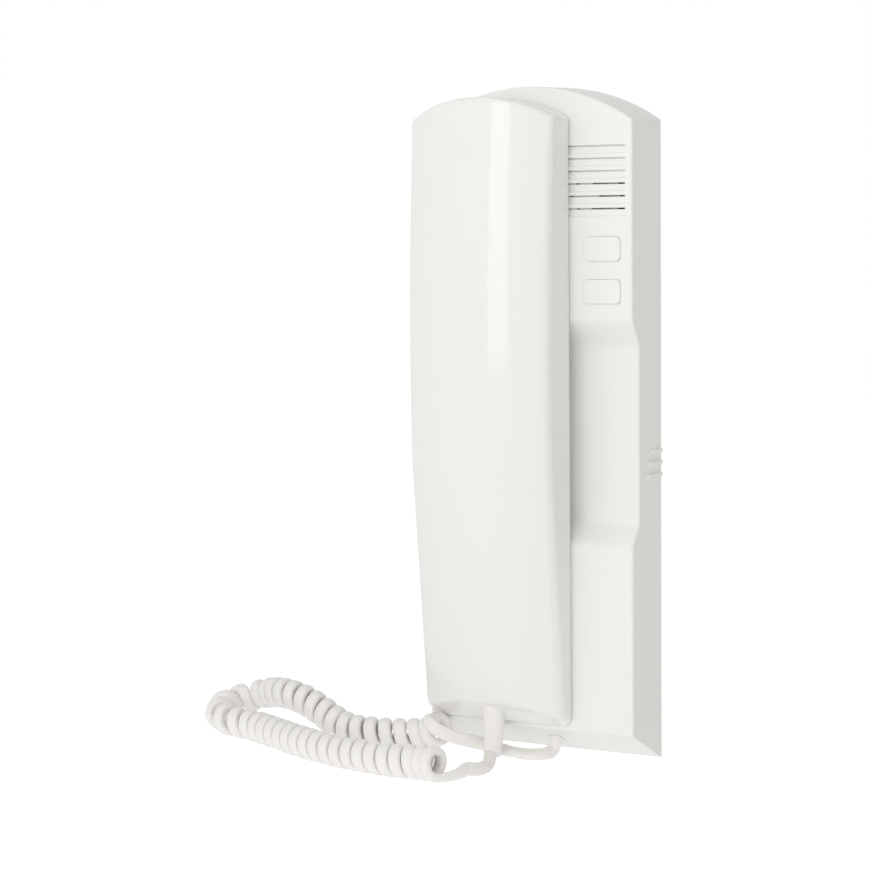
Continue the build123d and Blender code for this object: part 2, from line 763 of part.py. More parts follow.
def handset_solid(inset):
    """Body of the handset moved inwards, cut to its arched top and slanted foot."""
    half_width = handset_width / 2
    arch_radius = (half_width**2 + handset_arch_rise**2) / (2 * handset_arch_rise)
    peak = handset_side_height + handset_arch_rise - inset
    wide = half_width + overrun
    shoulder = peak - arch_radius + math.sqrt(arch_radius**2 - wide**2)
    low = handset_foot_height + inset * math.sqrt(1 + handset_foot_slope**2)
    far = handset_edge_depth + handset_crown + overrun
    near = handset_back - 2 * overrun
    slanted = [
        (near, low + handset_foot_slope * (near - handset_back)),
        (far, low + handset_foot_slope * (far - handset_back)), (far, peak + overrun), (near, peak + overrun),
    ]
    with BuildPart() as body:
        loft([handset_section(height, inset) for height in section_heights])
        extrude(side_profile(slanted), amount=base_width, both=True, mode=Mode.INTERSECT)
        with BuildSketch(facing(near, handset_middle)):
            with BuildLine():
                Polyline((-wide, shoulder), (-wide, 0), (wide, 0), (wide, shoulder))
                ThreePointArc((wide, shoulder), (0, peak), (-wide, shoulder))
            make_face()
        extrude(amount=far - near, mode=Mode.INTERSECT)
    return body


with BuildPart() as handset_form:
    add(handset_solid(0).part)
    # Shoulders of the arched top
    fillet(
        handset_form.edges().filter_by(
            lambda e: abs(e.center().X - handset_middle) > (handset_width - handset_corner_round) / 2
            and abs((e % 0.5).Y) > abs((e % 0.5).Z)
            and e.center().Z > foot + handset_side_height - handset_arch_rise
        ),
        handset_corner_round,
    )
handset_hollow = handset_solid(handset_wall)
cover_front = handset_back + rear_cover_thickness
boot_place = (handset_middle, -boot_depth)
boot_reach = boot_depth + boot_ear_depth / 2 - handset_back
boot_seat = (
    handset_foot_height + handset_foot_slope * boot_reach
    + handset_wall * math.sqrt(1 + handset_foot_slope**2) + running_gap
)

with BuildPart() as handset_bosses:
    with BuildSketch(facing(cover_front + running_gap, handset_middle)):
        with Locations(*[(0, height) for height in handset_screw_heights]):
            Circle(handset_boss_radius)
    extrude(amount=2 * handset_edge_depth)
    add(handset_form.part, mode=Mode.INTERSECT)

with BuildPart() as handset_front_shell:
    add(handset_form.part)
    add(handset_hollow.part, mode=Mode.SUBTRACT)
    add(handset_bosses.part)
    with Locations(facing(cover_front, handset_middle)):
        with Locations(*[(0, height) for height in handset_screw_heights]):
            Cylinder(
                handset_screw_radius, handset_screw_length - rear_cover_thickness,
                align=(Align.CENTER, Align.CENTER, Align.MIN), mode=Mode.SUBTRACT,
            )
    with Locations(Plane(origin=(*boot_place, foot + boot_seat))):
        Cylinder(
            boot_neck_radius + running_gap, boot_seat,
            align=(Align.CENTER, Align.CENTER, Align.MAX), mode=Mode.SUBTRACT,
        )
save(handset_front_shell, "handset_front_shell")

# Rear cover with its ear and mouth holes and the two slots for the hooks
with BuildPart() as cover_slab:
    with BuildSketch(facing(handset_back)):
        with Locations((handset_middle, mount_height)):
            Rectangle(base_width, 2 * base_side_height)
    extrude(amount=rear_cover_thickness)

with BuildPart() as handset_rear_cover:
    add(handset_solid(handset_wall + fitting_gap).part)
    add(cover_slab.part, mode=Mode.INTERSECT)
    for plane in hook_planes:
        with BuildSketch(plane):
            Rectangle(hook_width + 2 * hook_slot_gap, hook_thickness + 2 * hook_slot_gap)
        extrude(amount=2 * (base_wall + handset_gap + rear_cover_thickness), mode=Mode.SUBTRACT)
    with Locations(facing(handset_back, handset_middle, earpiece_height)):
        Cylinder(ear_hole_radius, 2 * overrun, mode=Mode.SUBTRACT)
        with PolarLocations(ear_hole_ring, ear_hole_count):
            Cylinder(ear_hole_radius, 2 * overrun, mode=Mode.SUBTRACT)
    with Locations(facing(handset_back, handset_middle, microphone_height)):
        Cylinder(microphone_hole_radius, 2 * overrun, mode=Mode.SUBTRACT)
    with Locations(facing(handset_back, handset_middle)):
        with Locations(*[(0, height) for height in handset_screw_heights]):
            Cylinder(handset_screw_radius + fitting_gap, 2 * overrun, mode=Mode.SUBTRACT)
            Cylinder(handset_screw_head_radius + fitting_gap, 2 * handset_screw_head, mode=Mode.SUBTRACT)
save(handset_rear_cover, "handset_rear_cover")

with BuildPart() as handset_screws:
    with Locations(facing(handset_back, handset_middle)):
        with Locations(*[(0, height) for height in handset_screw_heights]):
            Cylinder(
                handset_screw_head_radius, handset_screw_head, align=(Align.CENTER, Align.CENTER, Align.MIN)
            )
            Cylinder(
                handset_screw_radius, handset_screw_length, align=(Align.CENTER, Align.CENTER, Align.MIN)
            )
save(handset_screws, "handset_screws")

# Earpiece with its gasket
with BuildPart() as earpiece_gasket:
    with BuildSketch(facing(cover_front, handset_middle, earpiece_height)):
        Circle(earpiece_radius)
        Circle(earpiece_radius - gasket_width, mode=Mode.SUBTRACT)
    extrude(amount=gasket_thickness)
save(earpiece_gasket, "earpiece_gasket")

with BuildPart() as earpiece_speaker:
    with Locations(facing(cover_front + gasket_thickness, handset_middle, earpiece_height)):
        Cylinder(earpiece_radius, earpiece_rim_thickness, align=(Align.CENTER, Align.CENTER, Align.MIN))
        Cylinder(
            earpiece_magnet_radius, earpiece_rim_thickness + earpiece_magnet_thickness,
            align=(Align.CENTER, Align.CENTER, Align.MIN),
        )
save(earpiece_speaker, "earpiece_speaker")

# Microphone in its rubber sleeve
with BuildPart() as microphone_boot:
    with BuildSketch(facing(cover_front, handset_middle, microphone_height)):
        Circle(microphone_radius + microphone_sleeve)
        Circle(microphone_radius, mode=Mode.SUBTRACT)
    extrude(amount=microphone_thickness)
save(microphone_boot, "microphone_boot")

with BuildPart() as microphone:
    with Locations(facing(cover_front, handset_middle, microphone_height)):
        Cylinder(microphone_radius, microphone_thickness, align=(Align.CENTER, Align.CENTER, Align.MIN))
save(microphone, "microphone")

# Steel weight
with BuildPart() as handset_weight:
    with BuildSketch(facing(cover_front, handset_middle, weight_middle)):
        Rectangle(weight_width, weight_height)
    extrude(amount=weight_depth)
    fillet(handset_weight.edges().filter_by(Axis.Y), button_corner)
save(handset_weight, "handset_weight")

# Strain relief under the handset, a turned shape about an upright axis
with BuildPart() as cord_boot:
    with BuildSketch(Plane(origin=(*boot_place, foot), x_dir=(1, 0, 0), z_dir=(0, -1, 0))):
        with BuildLine():
            Polyline(
                (0, boot_tip_height), (boot_tip_radius, boot_tip_height),
                (boot_neck_radius, boot_height), (boot_neck_radius, boot_seat),
                (0, boot_seat), close=True,
            )
        make_face()
    revolve(axis=Axis((*boot_place, foot), (0, 0, 1)))
    with BuildSketch(Plane(origin=(*boot_place, foot + boot_seat))):
        Rectangle(boot_ear_width, boot_ear_depth)
    extrude(amount=boot_ear_thickness)
save(cord_boot, "cord_boot")


# Cord leads: straight runs joined by the largest arcs that they allow
def lead_tube(route):
    """Round tube along a route, with its corner radii."""
    points = [Vector(x, y, foot + height) for x, y, height in route]
    radii = []
    for before, corner, after in zip(points, points[1:], points[2:]):
        run_in, run_out = corner - before, after - corner
        half_turn = math.radians(run_in.get_angle(run_out)) / 2
        radii.append(arc_share * min(run_in.length, run_out.length) / math.tan(half_turn))
    with BuildPart() as tube:
        with BuildLine() as path:
            FilletPolyline(*points, radius=radii)
        with BuildSketch(Plane(origin=points[0], z_dir=points[1] - points[0])):
            Circle(cord_radius)
        sweep(path=path.line)
    length = sum(edge.length for edge in path.edges())
    expected = math.pi * cord_radius**2 * length
    print("lead radii", [round(radius, 1) for radius in radii], "length", round(length, 1))
    print("lead volume", round(tube.part.volume, 1), "section times length", round(expected, 1))
    return tube


outlet_run = [
    (outlet_middle, -outlet_depth, outlet_height),
    (outlet_middle, -outlet_depth - bevel_slope * (outlet_height - cord_radius), cord_radius),
]
cord_lead_base = lead_tube(outlet_run + base_lead_route)
save(cord_lead_base, "cord_lead_base")
cord_lead_handset = lead_tube(handset_lead_route)
save(cord_lead_handset, "cord_lead_handset")


# Curly cord: a helix about a smooth axis that its route's runs touch at their middles
def axis_points(route, steps):
    """Points of the smooth axis, in equal steps of each of its spans."""
    route = np.array(route) + (0, 0, foot)
    middles = (route[1:-2] + route[2:-1]) / 2
    starts = np.vstack([route[:1], middles])
    ends = np.vstack([middles, route[-1:]])
    share = np.linspace(0, 1, steps, endpoint=False)[:, None]
    spans = [
        (1 - share) ** 2 * start + 2 * share * (1 - share) * corner + share**2 * end
        for start, corner, end in zip(starts, route[1:-1], ends)
    ]
    return np.vstack(spans + [route[-1:]])


def unit(rows):
    """Rows scaled to length one."""
    return rows / np.linalg.norm(rows, axis=1)[:, None]


axis = axis_points(coil_route, axis_steps)
axis_along = np.concatenate([[0], np.cumsum(np.linalg.norm(np.diff(axis, axis=0), axis=1))])
axis_length = axis_along[-1]
along = np.linspace(0, axis_length, wire_steps + 1)
axis = np.stack([np.interp(along, axis_along, axis[:, column]) for column in range(3)], axis=1)
forward = unit(np.gradient(axis, axis=0))
upward = unit(np.array([0, 0, 1]) - forward * forward[:, 2:])
sideways = np.cross(forward, upward)
straight_end = 2 * cord_radius
opening = np.minimum(
    smooth((along - straight_end) / coil_ramp), smooth((axis_length - straight_end - along) / coil_ramp)
)
along_share = along / axis_length
loop_part = smooth((along_share - coil_loop_share[0]) / coil_fade_share) * smooth(
    (coil_loop_share[1] - along_share) / coil_fade_share
)
pitch = coil_pitch + (coil_loop_pitch - coil_pitch) * loop_part
pitch = coil_open_pitch + (pitch - coil_open_pitch) * opening**2
wound_part = (along > straight_end) & (along < axis_length - straight_end)
turned = np.cumsum(np.where(wound_part, 1 / pitch, 0)) * (along[1] - along[0])
print("curly_coil turns that its pitches give", round(turned[-1], 2))
turned *= coil_turns / turned[-1]
angle = 2 * math.pi * turned
reach = (coil_radius * opening)[:, None]
wire = axis + reach * (np.cos(angle)[:, None] * upward + np.sin(angle)[:, None] * sideways)
wire_way = unit(np.gradient(wire, axis=0))
quarters = np.interp(np.arange(1, 4 * coil_turns) / 4, turned, along)
knots = np.concatenate([[0, straight_end], quarters, [axis_length - straight_end, axis_length]])
knot_points = np.stack([np.interp(knots, along, wire[:, column]) for column in range(3)], axis=1)
knot_ways = unit(np.stack([np.interp(knots, along, wire_way[:, column]) for column in range(3)], axis=1))
knot_ways[:2] = unit(knot_points[1:2] - knot_points[:1])
knot_ways[-2:] = unit(knot_points[-1:] - knot_points[-2:-1])

with BuildPart() as curly_coil:
    coil_path = wound_path(knot_points, knot_ways)
    with BuildSketch(Plane(origin=tuple(knot_points[0]), z_dir=tuple(knot_ways[0]))):
        Circle(cord_radius)
    sweep(path=coil_path)
save(curly_coil, "curly_coil")

wire_length = float(np.linalg.norm(np.diff(wire, axis=0), axis=1).sum())
wire_turn = np.linalg.norm(np.gradient(wire_way, axis=0), axis=1)
bend = wire_turn / np.linalg.norm(np.gradient(wire, axis=0), axis=1)
wire_volume = math.pi * cord_radius**2 * wire_length
print("curly_coil wire length", round(wire_length, 1), "section times length", round(wire_volume, 1))
print("curly_coil volume", round(curly_coil.part.volume, 1))
print("curly_coil least gap to itself", round(least_gap(wire[::2], cord_radius), 2),
      "tightest bend", round(float(1 / bend[2:-2].max()), 2))
print("lowest point of the coil above the table", round(float(wire[:, 2].min()) - foot - cord_radius, 2))
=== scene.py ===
import json
import logging
import math
from dataclasses import dataclass, field
from enum import Enum

import bmesh
import bpy
import numpy as np
from mathutils import Matrix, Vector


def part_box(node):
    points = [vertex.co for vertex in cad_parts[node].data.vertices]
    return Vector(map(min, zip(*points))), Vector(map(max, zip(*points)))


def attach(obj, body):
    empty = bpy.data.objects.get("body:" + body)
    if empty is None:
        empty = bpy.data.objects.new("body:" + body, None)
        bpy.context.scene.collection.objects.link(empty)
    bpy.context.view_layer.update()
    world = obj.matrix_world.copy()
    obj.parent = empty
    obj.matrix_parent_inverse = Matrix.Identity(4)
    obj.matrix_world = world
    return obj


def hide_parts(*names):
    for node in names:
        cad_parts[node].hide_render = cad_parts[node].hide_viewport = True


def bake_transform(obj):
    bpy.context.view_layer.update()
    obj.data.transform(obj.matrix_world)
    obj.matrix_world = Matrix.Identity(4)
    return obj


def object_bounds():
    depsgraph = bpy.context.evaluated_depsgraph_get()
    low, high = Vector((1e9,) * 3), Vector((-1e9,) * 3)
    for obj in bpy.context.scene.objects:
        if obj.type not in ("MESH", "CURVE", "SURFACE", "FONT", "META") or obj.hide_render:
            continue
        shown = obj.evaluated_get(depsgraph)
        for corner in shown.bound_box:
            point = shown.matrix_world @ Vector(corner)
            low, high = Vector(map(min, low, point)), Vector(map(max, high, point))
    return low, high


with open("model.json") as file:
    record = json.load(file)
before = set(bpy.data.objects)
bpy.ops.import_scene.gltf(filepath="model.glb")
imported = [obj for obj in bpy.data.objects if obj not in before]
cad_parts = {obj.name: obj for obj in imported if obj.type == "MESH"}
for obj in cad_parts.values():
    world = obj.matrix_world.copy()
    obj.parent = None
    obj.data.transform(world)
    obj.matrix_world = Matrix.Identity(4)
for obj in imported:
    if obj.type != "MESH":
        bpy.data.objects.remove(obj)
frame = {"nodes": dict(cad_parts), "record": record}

# Wall intercom with a corded handset: its looks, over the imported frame
# Metres, X to the viewer's right, +Y into the wall, +Z up
# A depth is counted from the wall towards the viewer, a height from the table

Array = np.ndarray
Point = tuple[float, float, float]
CAD_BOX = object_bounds()
MILLIMETRE = 0.001
TABLE = CAD_BOX[0].z
LOG = logging.getLogger("intercom")
TURNED_CREASE = 35.0
CURVE_RESOLUTION = 48


def smooth(share: Array) -> Array:
    """Smooth step: 3 times the square less twice the cube of a share held between 0 and 1."""
    held = np.clip(share, 0.0, 1.0)
    return held * held * (3.0 - 2.0 * held)


def unit(rows: Array) -> Array:
    """Rows scaled to length one."""
    return rows / np.linalg.norm(rows, axis=-1, keepdims=True)


# Surfaces
def grid_quads(rows: int, columns: int, closed: bool, start: int) -> Array:
    """Quads between the neighbouring rows and columns of a grid.

    Args:
        rows: how many rows the grid has.
        columns: how many points each row has.
        closed: whether the last column joins the first.
        start: the number of the grid's first vertex.

    Returns:
        Four vertex numbers for each quad.
    """
    across = columns if closed else columns - 1
    row, column = np.meshgrid(np.arange(rows - 1), np.arange(across), indexing="ij")
    following = (column + 1) % columns
    return start + np.stack([
        row * columns + column, row * columns + following,
        (row + 1) * columns + following, (row + 1) * columns + column,
    ], axis=-1).reshape(-1, 4)


def surface(name: str, grids: list[tuple[Array, bool]], caps: bool = False) -> bpy.types.Object:
    """Mesh over one or more grids of points.

    Args:
        name: the piece's name.
        grids: for each grid its rows by columns by 3 points in metres, and whether its rows are closed.
        caps: whether the first and last rows of a single grid are closed by a fan about their middles.

    Returns:
        The new object, at the origin.
    """
    faces, vertices, count = [], [], 0
    for points, closed in grids:
        rows, columns = points.shape[:2]
        faces += grid_quads(rows, columns, closed, count).tolist()
        vertices.append(points.reshape(-1, 3))
        count += rows * columns
    if caps:
        around = np.arange(columns)
        ahead = (around + 1) % columns
        last = (rows - 1) * columns
        faces += np.stack([ahead, around, np.full(columns, count)], axis=1).tolist()
        faces += np.stack([last + around, last + ahead, np.full(columns, count + 1)], axis=1).tolist()
        vertices.append(np.stack([points[0].mean(axis=0), points[-1].mean(axis=0)]))
    mesh = bpy.data.meshes.new(name)
    mesh.from_pydata(np.vstack(vertices).tolist(), [], faces)
    mesh.update()
    piece = bpy.data.objects.new(name, mesh)
    bpy.context.scene.collection.objects.link(piece)
    return piece


def finish_mesh(piece: bpy.types.Object, merge: float = 1e-7, crease: float = 50.0) -> None:
    """Merge the doubles of a closed mesh, turn its faces outwards and shade it smooth between its edges.

    Args:
        piece: the object.
        merge: the distance in metres under which two vertices become one.
        crease: the angle in degrees over which an edge stays sharp.
    """
    work = bmesh.new()
    work.from_mesh(piece.data)
    bmesh.ops.remove_doubles(work, verts=work.verts, dist=merge)
    bmesh.ops.recalc_face_normals(work, faces=work.faces)
    work.to_mesh(piece.data)
    work.free()
    piece.data.shade_smooth()
    piece.data.set_sharp_from_angle(angle=math.radians(crease))


def carried(line: Array, start: Array) -> Array:
    """Directions across a line, carried along it from a first one without twisting.

    Each direction is the one before it less its part along the line, scaled to length one.

    Args:
        line: the line's points, one row each.
        start: the first direction.

    Returns:
        One direction for each point.
    """
    ways = unit(np.gradient(line, axis=0))
    across = np.empty_like(ways)
    held = start
    for place, way in enumerate(ways):
        held = held - way * (held @ way)
        held = held / np.linalg.norm(held)
        across[place] = held
    return across


def tube(
    name: str, line: Array, across: Array, halves: Array, sides: int, fullness: float = 2.0
) -> bpy.types.Object:
    """Closed tube: at each point of the line, an oval across it.

    The oval goes its first half size towards the direction across and its second at a right angle to
    it, times the cosine and sine of the turn raised to two over the fullness: 2 is an ellipse, and a
    larger number has flatter sides.

    Args:
        name: the piece's name.
        line: the middle line's points in metres.
        across: the direction of the first half size at each point.
        halves: the two half sizes at each point, in metres.
        sides: how many points go round.
        fullness: the oval's power.

    Returns:
        The tube.
    """
    over = unit(np.cross(unit(np.gradient(line, axis=0)), across))
    turn = np.linspace(0.0, 2.0 * math.pi, sides, endpoint=False)
    reach = np.stack([np.cos(turn), np.sin(turn)])
    first, second = np.sign(reach) * np.abs(reach) ** (2.0 / fullness)
    oval = (
        first[None, :, None] * halves[:, :1, None] * across[:, None]
        + second[None, :, None] * halves[:, 1:, None] * over[:, None]
    )
    piece = surface(name, [(line[:, None] + oval, True)], caps=True)
    finish_mesh(piece)
    return piece


def turned(name: str, profile: Array, centre: Point, sides: int) -> bpy.types.Object:
    """Turned shape about an axis towards the viewer: a profile carried round it.

    Args:
        name: the piece's name.
        profile: the radius and the depth at each of the profile's points.
        centre: a point on the axis, from whose Y the depths count.
        sides: how many points go round.

    Returns:
        The shape.
    """
    turn = np.linspace(0.0, 2.0 * math.pi, sides, endpoint=False)
    radius, depth = profile[:, 0, None], profile[:, 1, None]
    points = np.stack([
        centre[0] + radius * np.cos(turn), np.broadcast_to(centre[1] - depth, (len(profile), sides)),
        centre[2] + radius * np.sin(turn),
    ], axis=-1)
    piece = surface(name, [(points, True)], caps=True)
    finish_mesh(piece, crease=TURNED_CREASE)
    return piece


# Finishes
COAT_ROUGHNESS = 0.12
SUBSURFACE_RADIUS = (0.0016, 0.0012, 0.001)
EVEN_SCALE = (1.0, 1.0, 1.0)
DRAWN_SCALE = (1.0, 1.0, 0.06)
PATCH_DETAIL = 3.0
GRAIN_DETAIL = 2.0
TINT_STOPS = (0.3, 0.7)
TRACK_MORTAR = 0.08
TRACK_SHADES = {"Color1": 0.0, "Color2": 0.35, "Mortar": 1.0}


class Texture(Enum):
    """How a finish varies over a surface."""

    MOULDED = "fine even grain under faint cloudy patches"
    DRAWN = "grain drawn out along the height"
    FIBRE = "short paper fibres"
    TRACKS = "rows of printed tracks"


@dataclass(frozen=True)
class Finish:
    """A finish: its two colours, its gloss and its fine relief."""

    name: str
    colour: Point
    shade: Point
    gloss: tuple[float, float]
    patch: float = 0.012
    grain: float = 0.0004
    relief: float = 0.00001
    metallic: float = 0.0
    coat: float = 0.0
    sheen: float = 0.0
    subsurface: float = 0.0
    texture: Texture = Texture.MOULDED

    def material(self) -> bpy.types.Material:
        """Build the finish's nodes.

        Returns:
            The material, with its colour, roughness and relief from noise on Object coordinates.
        """
        made = bpy.data.materials.new(self.name)
        made.use_nodes = True
        nodes, links = made.node_tree.nodes, made.node_tree.links
        shader = nodes["Principled BSDF"]
        shader.inputs["Metallic"].default_value = self.metallic
        shader.inputs["Coat Weight"].default_value = self.coat
        shader.inputs["Coat Roughness"].default_value = COAT_ROUGHNESS
        shader.inputs["Sheen Weight"].default_value = self.sheen
        shader.inputs["Subsurface Weight"].default_value = self.subsurface
        shader.inputs["Subsurface Radius"].default_value = SUBSURFACE_RADIUS
        shader.inputs["Subsurface Scale"].default_value = 1.0
        place = nodes.new("ShaderNodeTexCoord")
        stretch = nodes.new("ShaderNodeMapping")
        drawn = self.texture is Texture.DRAWN
        stretch.inputs["Scale"].default_value = DRAWN_SCALE if drawn else EVEN_SCALE
        links.new(place.outputs["Object"], stretch.inputs["Vector"])
        patches = nodes.new("ShaderNodeTexNoise")
        patches.inputs["Scale"].default_value = 1.0 / self.patch
        patches.inputs["Detail"].default_value = PATCH_DETAIL
        links.new(stretch.outputs["Vector"], patches.inputs["Vector"])
        tint = nodes.new("ShaderNodeValToRGB")
        for stop, place_share, colour in zip(tint.color_ramp.elements, TINT_STOPS, (self.shade, self.colour)):
            stop.position = place_share
            stop.color = (*colour, 1.0)
        links.new(self.pattern(nodes, links, stretch, patches), tint.inputs["Fac"])
        links.new(tint.outputs["Color"], shader.inputs["Base Color"])
        polish = nodes.new("ShaderNodeMapRange")
        polish.inputs["To Min"].default_value = self.gloss[0]
        polish.inputs["To Max"].default_value = self.gloss[1]
        links.new(patches.outputs["Fac"], polish.inputs["Value"])
        links.new(polish.outputs["Result"], shader.inputs["Roughness"])
        grain = nodes.new("ShaderNodeTexNoise")
        grain.inputs["Scale"].default_value = 1.0 / self.grain
        grain.inputs["Detail"].default_value = GRAIN_DETAIL
        links.new(stretch.outputs["Vector"], grain.inputs["Vector"])
        relief = nodes.new("ShaderNodeBump")
        relief.inputs["Distance"].default_value = self.relief
        relief.inputs["Strength"].default_value = 1.0
        links.new(grain.outputs["Fac"], relief.inputs["Height"])
        links.new(relief.outputs["Normal"], shader.inputs["Normal"])
        return made

    def pattern(
        self, nodes: bpy.types.Nodes, links: bpy.types.NodeLinks, stretch: bpy.types.Node,
        patches: bpy.types.Node,
    ) -> bpy.types.NodeSocket:
        """Socket that mixes the finish's two colours.

        Args:
            nodes: the material's nodes.
            links: the material's links.
            stretch: the mapped coordinates.
            patches: the cloudy noise.

        Returns:
            The noise itself, or the pattern that the texture asks for.
        """
        if self.texture is Texture.TRACKS:
            tracks = nodes.new("ShaderNodeTexBrick")
            tracks.inputs["Scale"].default_value = 1.0 / self.patch
            tracks.inputs["Mortar Size"].default_value = TRACK_MORTAR
            for socket, shade in TRACK_SHADES.items():
                tracks.inputs[socket].default_value = (shade, shade, shade, 1.0)
            turn = nodes.new("ShaderNodeMapping")
            turn.inputs["Rotation"].default_value = (math.pi / 2.0, 0.0, 0.0)
            links.new(stretch.outputs["Vector"], turn.inputs["Vector"])
            links.new(turn.outputs["Vector"], tracks.inputs["Vector"])
            return tracks.outputs["Color"]
        if self.texture is Texture.FIBRE:
            fibres = nodes.new("ShaderNodeTexVoronoi")
            fibres.inputs["Scale"].default_value = 1.0 / self.grain
            links.new(stretch.outputs["Vector"], fibres.inputs["Vector"])
            return fibres.outputs["Distance"]
        return patches.outputs["Fac"]


FINISHES = {
    "handset_white": Finish(
        "handset_white", (0.876, 0.869, 0.838), (0.871, 0.863, 0.832), (0.09, 0.1), relief=0.000002
    ),
    "base_white": Finish(
        "base_white", (0.887, 0.88, 0.85), (0.881, 0.874, 0.844), (0.42, 0.46), grain=0.0006, relief=0.00001
    ),
    "plate_white": Finish("plate_white", (0.8, 0.8, 0.79), (0.77, 0.77, 0.76), (0.45, 0.6)),
    "button_white": Finish(
        "button_white", (0.887, 0.88, 0.85), (0.881, 0.874, 0.844), (0.3, 0.34), patch=0.006,
        relief=0.000003,
    ),
    "cord_white": Finish(
        "cord_white", (0.9, 0.88, 0.855), (0.89, 0.868, 0.842), (0.11, 0.14), patch=0.006, grain=0.0009,
        relief=0.000004, subsurface=0.2,
    ),
    "board_green": Finish(
        "board_green", (0.09, 0.36, 0.19), (0.04, 0.2, 0.1), (0.28, 0.4), patch=0.005, texture=Texture.TRACKS
    ),
    "terminal_black": Finish("terminal_black", (0.05, 0.05, 0.05), (0.035, 0.035, 0.035), (0.4, 0.55)),
    "speaker_white": Finish(
        "speaker_white", (0.9, 0.9, 0.88), (0.85, 0.85, 0.83), (0.5, 0.65), grain=0.0005, texture=Texture.FIBRE
    ),
    "speaker_black": Finish(
        "speaker_black", (0.08, 0.08, 0.08), (0.05, 0.05, 0.05), (0.5, 0.7), texture=Texture.FIBRE
    ),
    "rubber_black": Finish("rubber_black", (0.06, 0.06, 0.06), (0.045, 0.045, 0.045), (0.6, 0.75), sheen=0.1),
    "steel": Finish(
        "steel", (0.62, 0.62, 0.6), (0.52, 0.52, 0.51), (0.25, 0.38), metallic=1.0, texture=Texture.DRAWN
    ),
    "weight_steel": Finish(
        "weight_steel", (0.42, 0.41, 0.4), (0.33, 0.32, 0.31), (0.4, 0.55), metallic=1.0, grain=0.0008
    ),
}


class Wardrobe:
    """The finished materials, one for each slot, that dress the pieces."""

    def __init__(self) -> None:
        """Build every slot's material."""
        self.materials = {slot: finish.material() for slot, finish in FINISHES.items()}

    def dress(self, piece: bpy.types.Object, slot: str) -> None:
        """Give a new piece a slot's material.

        Args:
            piece: the piece.
            slot: the name of the record's material slot.
        """
        piece.data.materials.clear()
        piece.data.materials.append(self.materials[slot])

    def dress_nodes(self) -> None:
        """Give each CAD node the material of its slot in the record."""
        for part in frame["record"]["subparts"]:
            node = frame["nodes"][part["node"]]
            for place in node.material_slots:
                place.link = "OBJECT"
                place.material = self.materials[part["material_slot"]]


# Camera
@dataclass(frozen=True)
class PhotoCamera:
    """The camera that took the photograph."""

    azimuth: float = 28.83
    elevation: float = 4.95
    roll: float = -0.552
    focal_pixels: float = 2385.0
    frame_pixels: float = 870.0
    sensor: float = 36.0
    eye: Point = (0.34009, -0.70104, 0.06334)
    clip: tuple[float, float] = (0.01, 20.0)

    def axes(self) -> Array:
        """The camera's own right, up and back directions, as the columns of a turn."""
        turn, rise, lean = (math.radians(angle) for angle in (self.azimuth, self.elevation, self.roll))
        back = np.array([
            math.sin(turn) * math.cos(rise), -math.cos(turn) * math.cos(rise), math.sin(rise)
        ])
        right = np.array([math.cos(turn), math.sin(turn), 0.0])
        up = np.cross(back, right)
        leaned_right = math.cos(lean) * right + math.sin(lean) * up
        leaned_up = math.cos(lean) * up - math.sin(lean) * right
        return np.column_stack([leaned_right, leaned_up, back])

    def build(self) -> bpy.types.Object:
        """Create the camera and make it the scene's.

        Returns:
            The camera object.
        """
        data = bpy.data.cameras.new("photo_camera")
        data.sensor_width = self.sensor
        data.lens = self.focal_pixels / self.frame_pixels * self.sensor
        data.clip_start, data.clip_end = self.clip
        camera = bpy.data.objects.new("photo_camera", data)
        bpy.context.scene.collection.objects.link(camera)
        placed = Matrix(self.axes().tolist()).to_4x4()
        placed.translation = self.eye
        camera.matrix_world = placed
        bpy.context.scene.camera = camera
        return camera


# Cord
OUTLET_RUN = [(5.0, -12.0, 6.056), (5.0, -14.173, 1.75)]
BASE_LEAD_ROUTE = [
    (3.9, -19.0, 1.45), (0.2, -21.2, 1.45), (-5.4, -21.2, 1.6), (-11.0, -22.6, 2.8), (-16.0, -26.3, 4.9),
    (-20.0, -29.4, 6.0), (-24.5, -32.2, 7.8), (-29.2, -33.4, 10.0),
]
BACK_RUN_ROUTE = [
    (-30.4, -26.6, 8.0), (-33.4, -24.9, 6.6), (-40.0, -26.4, 5.4), (-49.0, -28.5, 5.2),
    (-57.0, -29.6, 5.2), (-65.0, -29.0, 5.6), (-72.5, -27.2, 8.6), (-80.5, -25.4, 12.2),
    (-89.5, -23.5, 14.0), (-98.0, -19.5, 13.4), (-105.0, -13.8, 11.4), (-114.0, -13.0, 9.2),
    (-118.5, -21.0, 7.6),
]
TURN_MIDDLE = (-117.0, -25.5, 7.0)
FRONT_RUN_ROUTE = [
    (-115.5, -30.0, 6.4), (-106.5, -35.6, 5.3), (-96.0, -37.0, 5.2), (-82.0, -44.5, 5.2),
    (-66.0, -53.0, 5.2), (-50.0, -59.0, 5.2), (-35.0, -62.0, 5.2), (-23.5, -62.9, 5.3),
    (-15.5, -62.4, 5.6), (-10.3, -64.9, 6.1),
]
HANDSET_LEAD_ROUTE = [
    (-6.4, -57.0, 2.4), (-6.0, -53.5, 3.1), (-4.6, -50.0, 1.9), (-4.0, -45.0, 1.9), (-5.6, -39.6, 1.8),
    (-8.0, -34.8, 1.7), (-9.6, -31.0, 2.0), (-10.0, -27.8, 4.4), (-10.0, -27.5, 9.0),
]
BOOT_ROUTE = [(-10.0, -27.5, 21.0), (-10.0, -27.5, 4.6), (-9.9, -29.0, 2.75)]


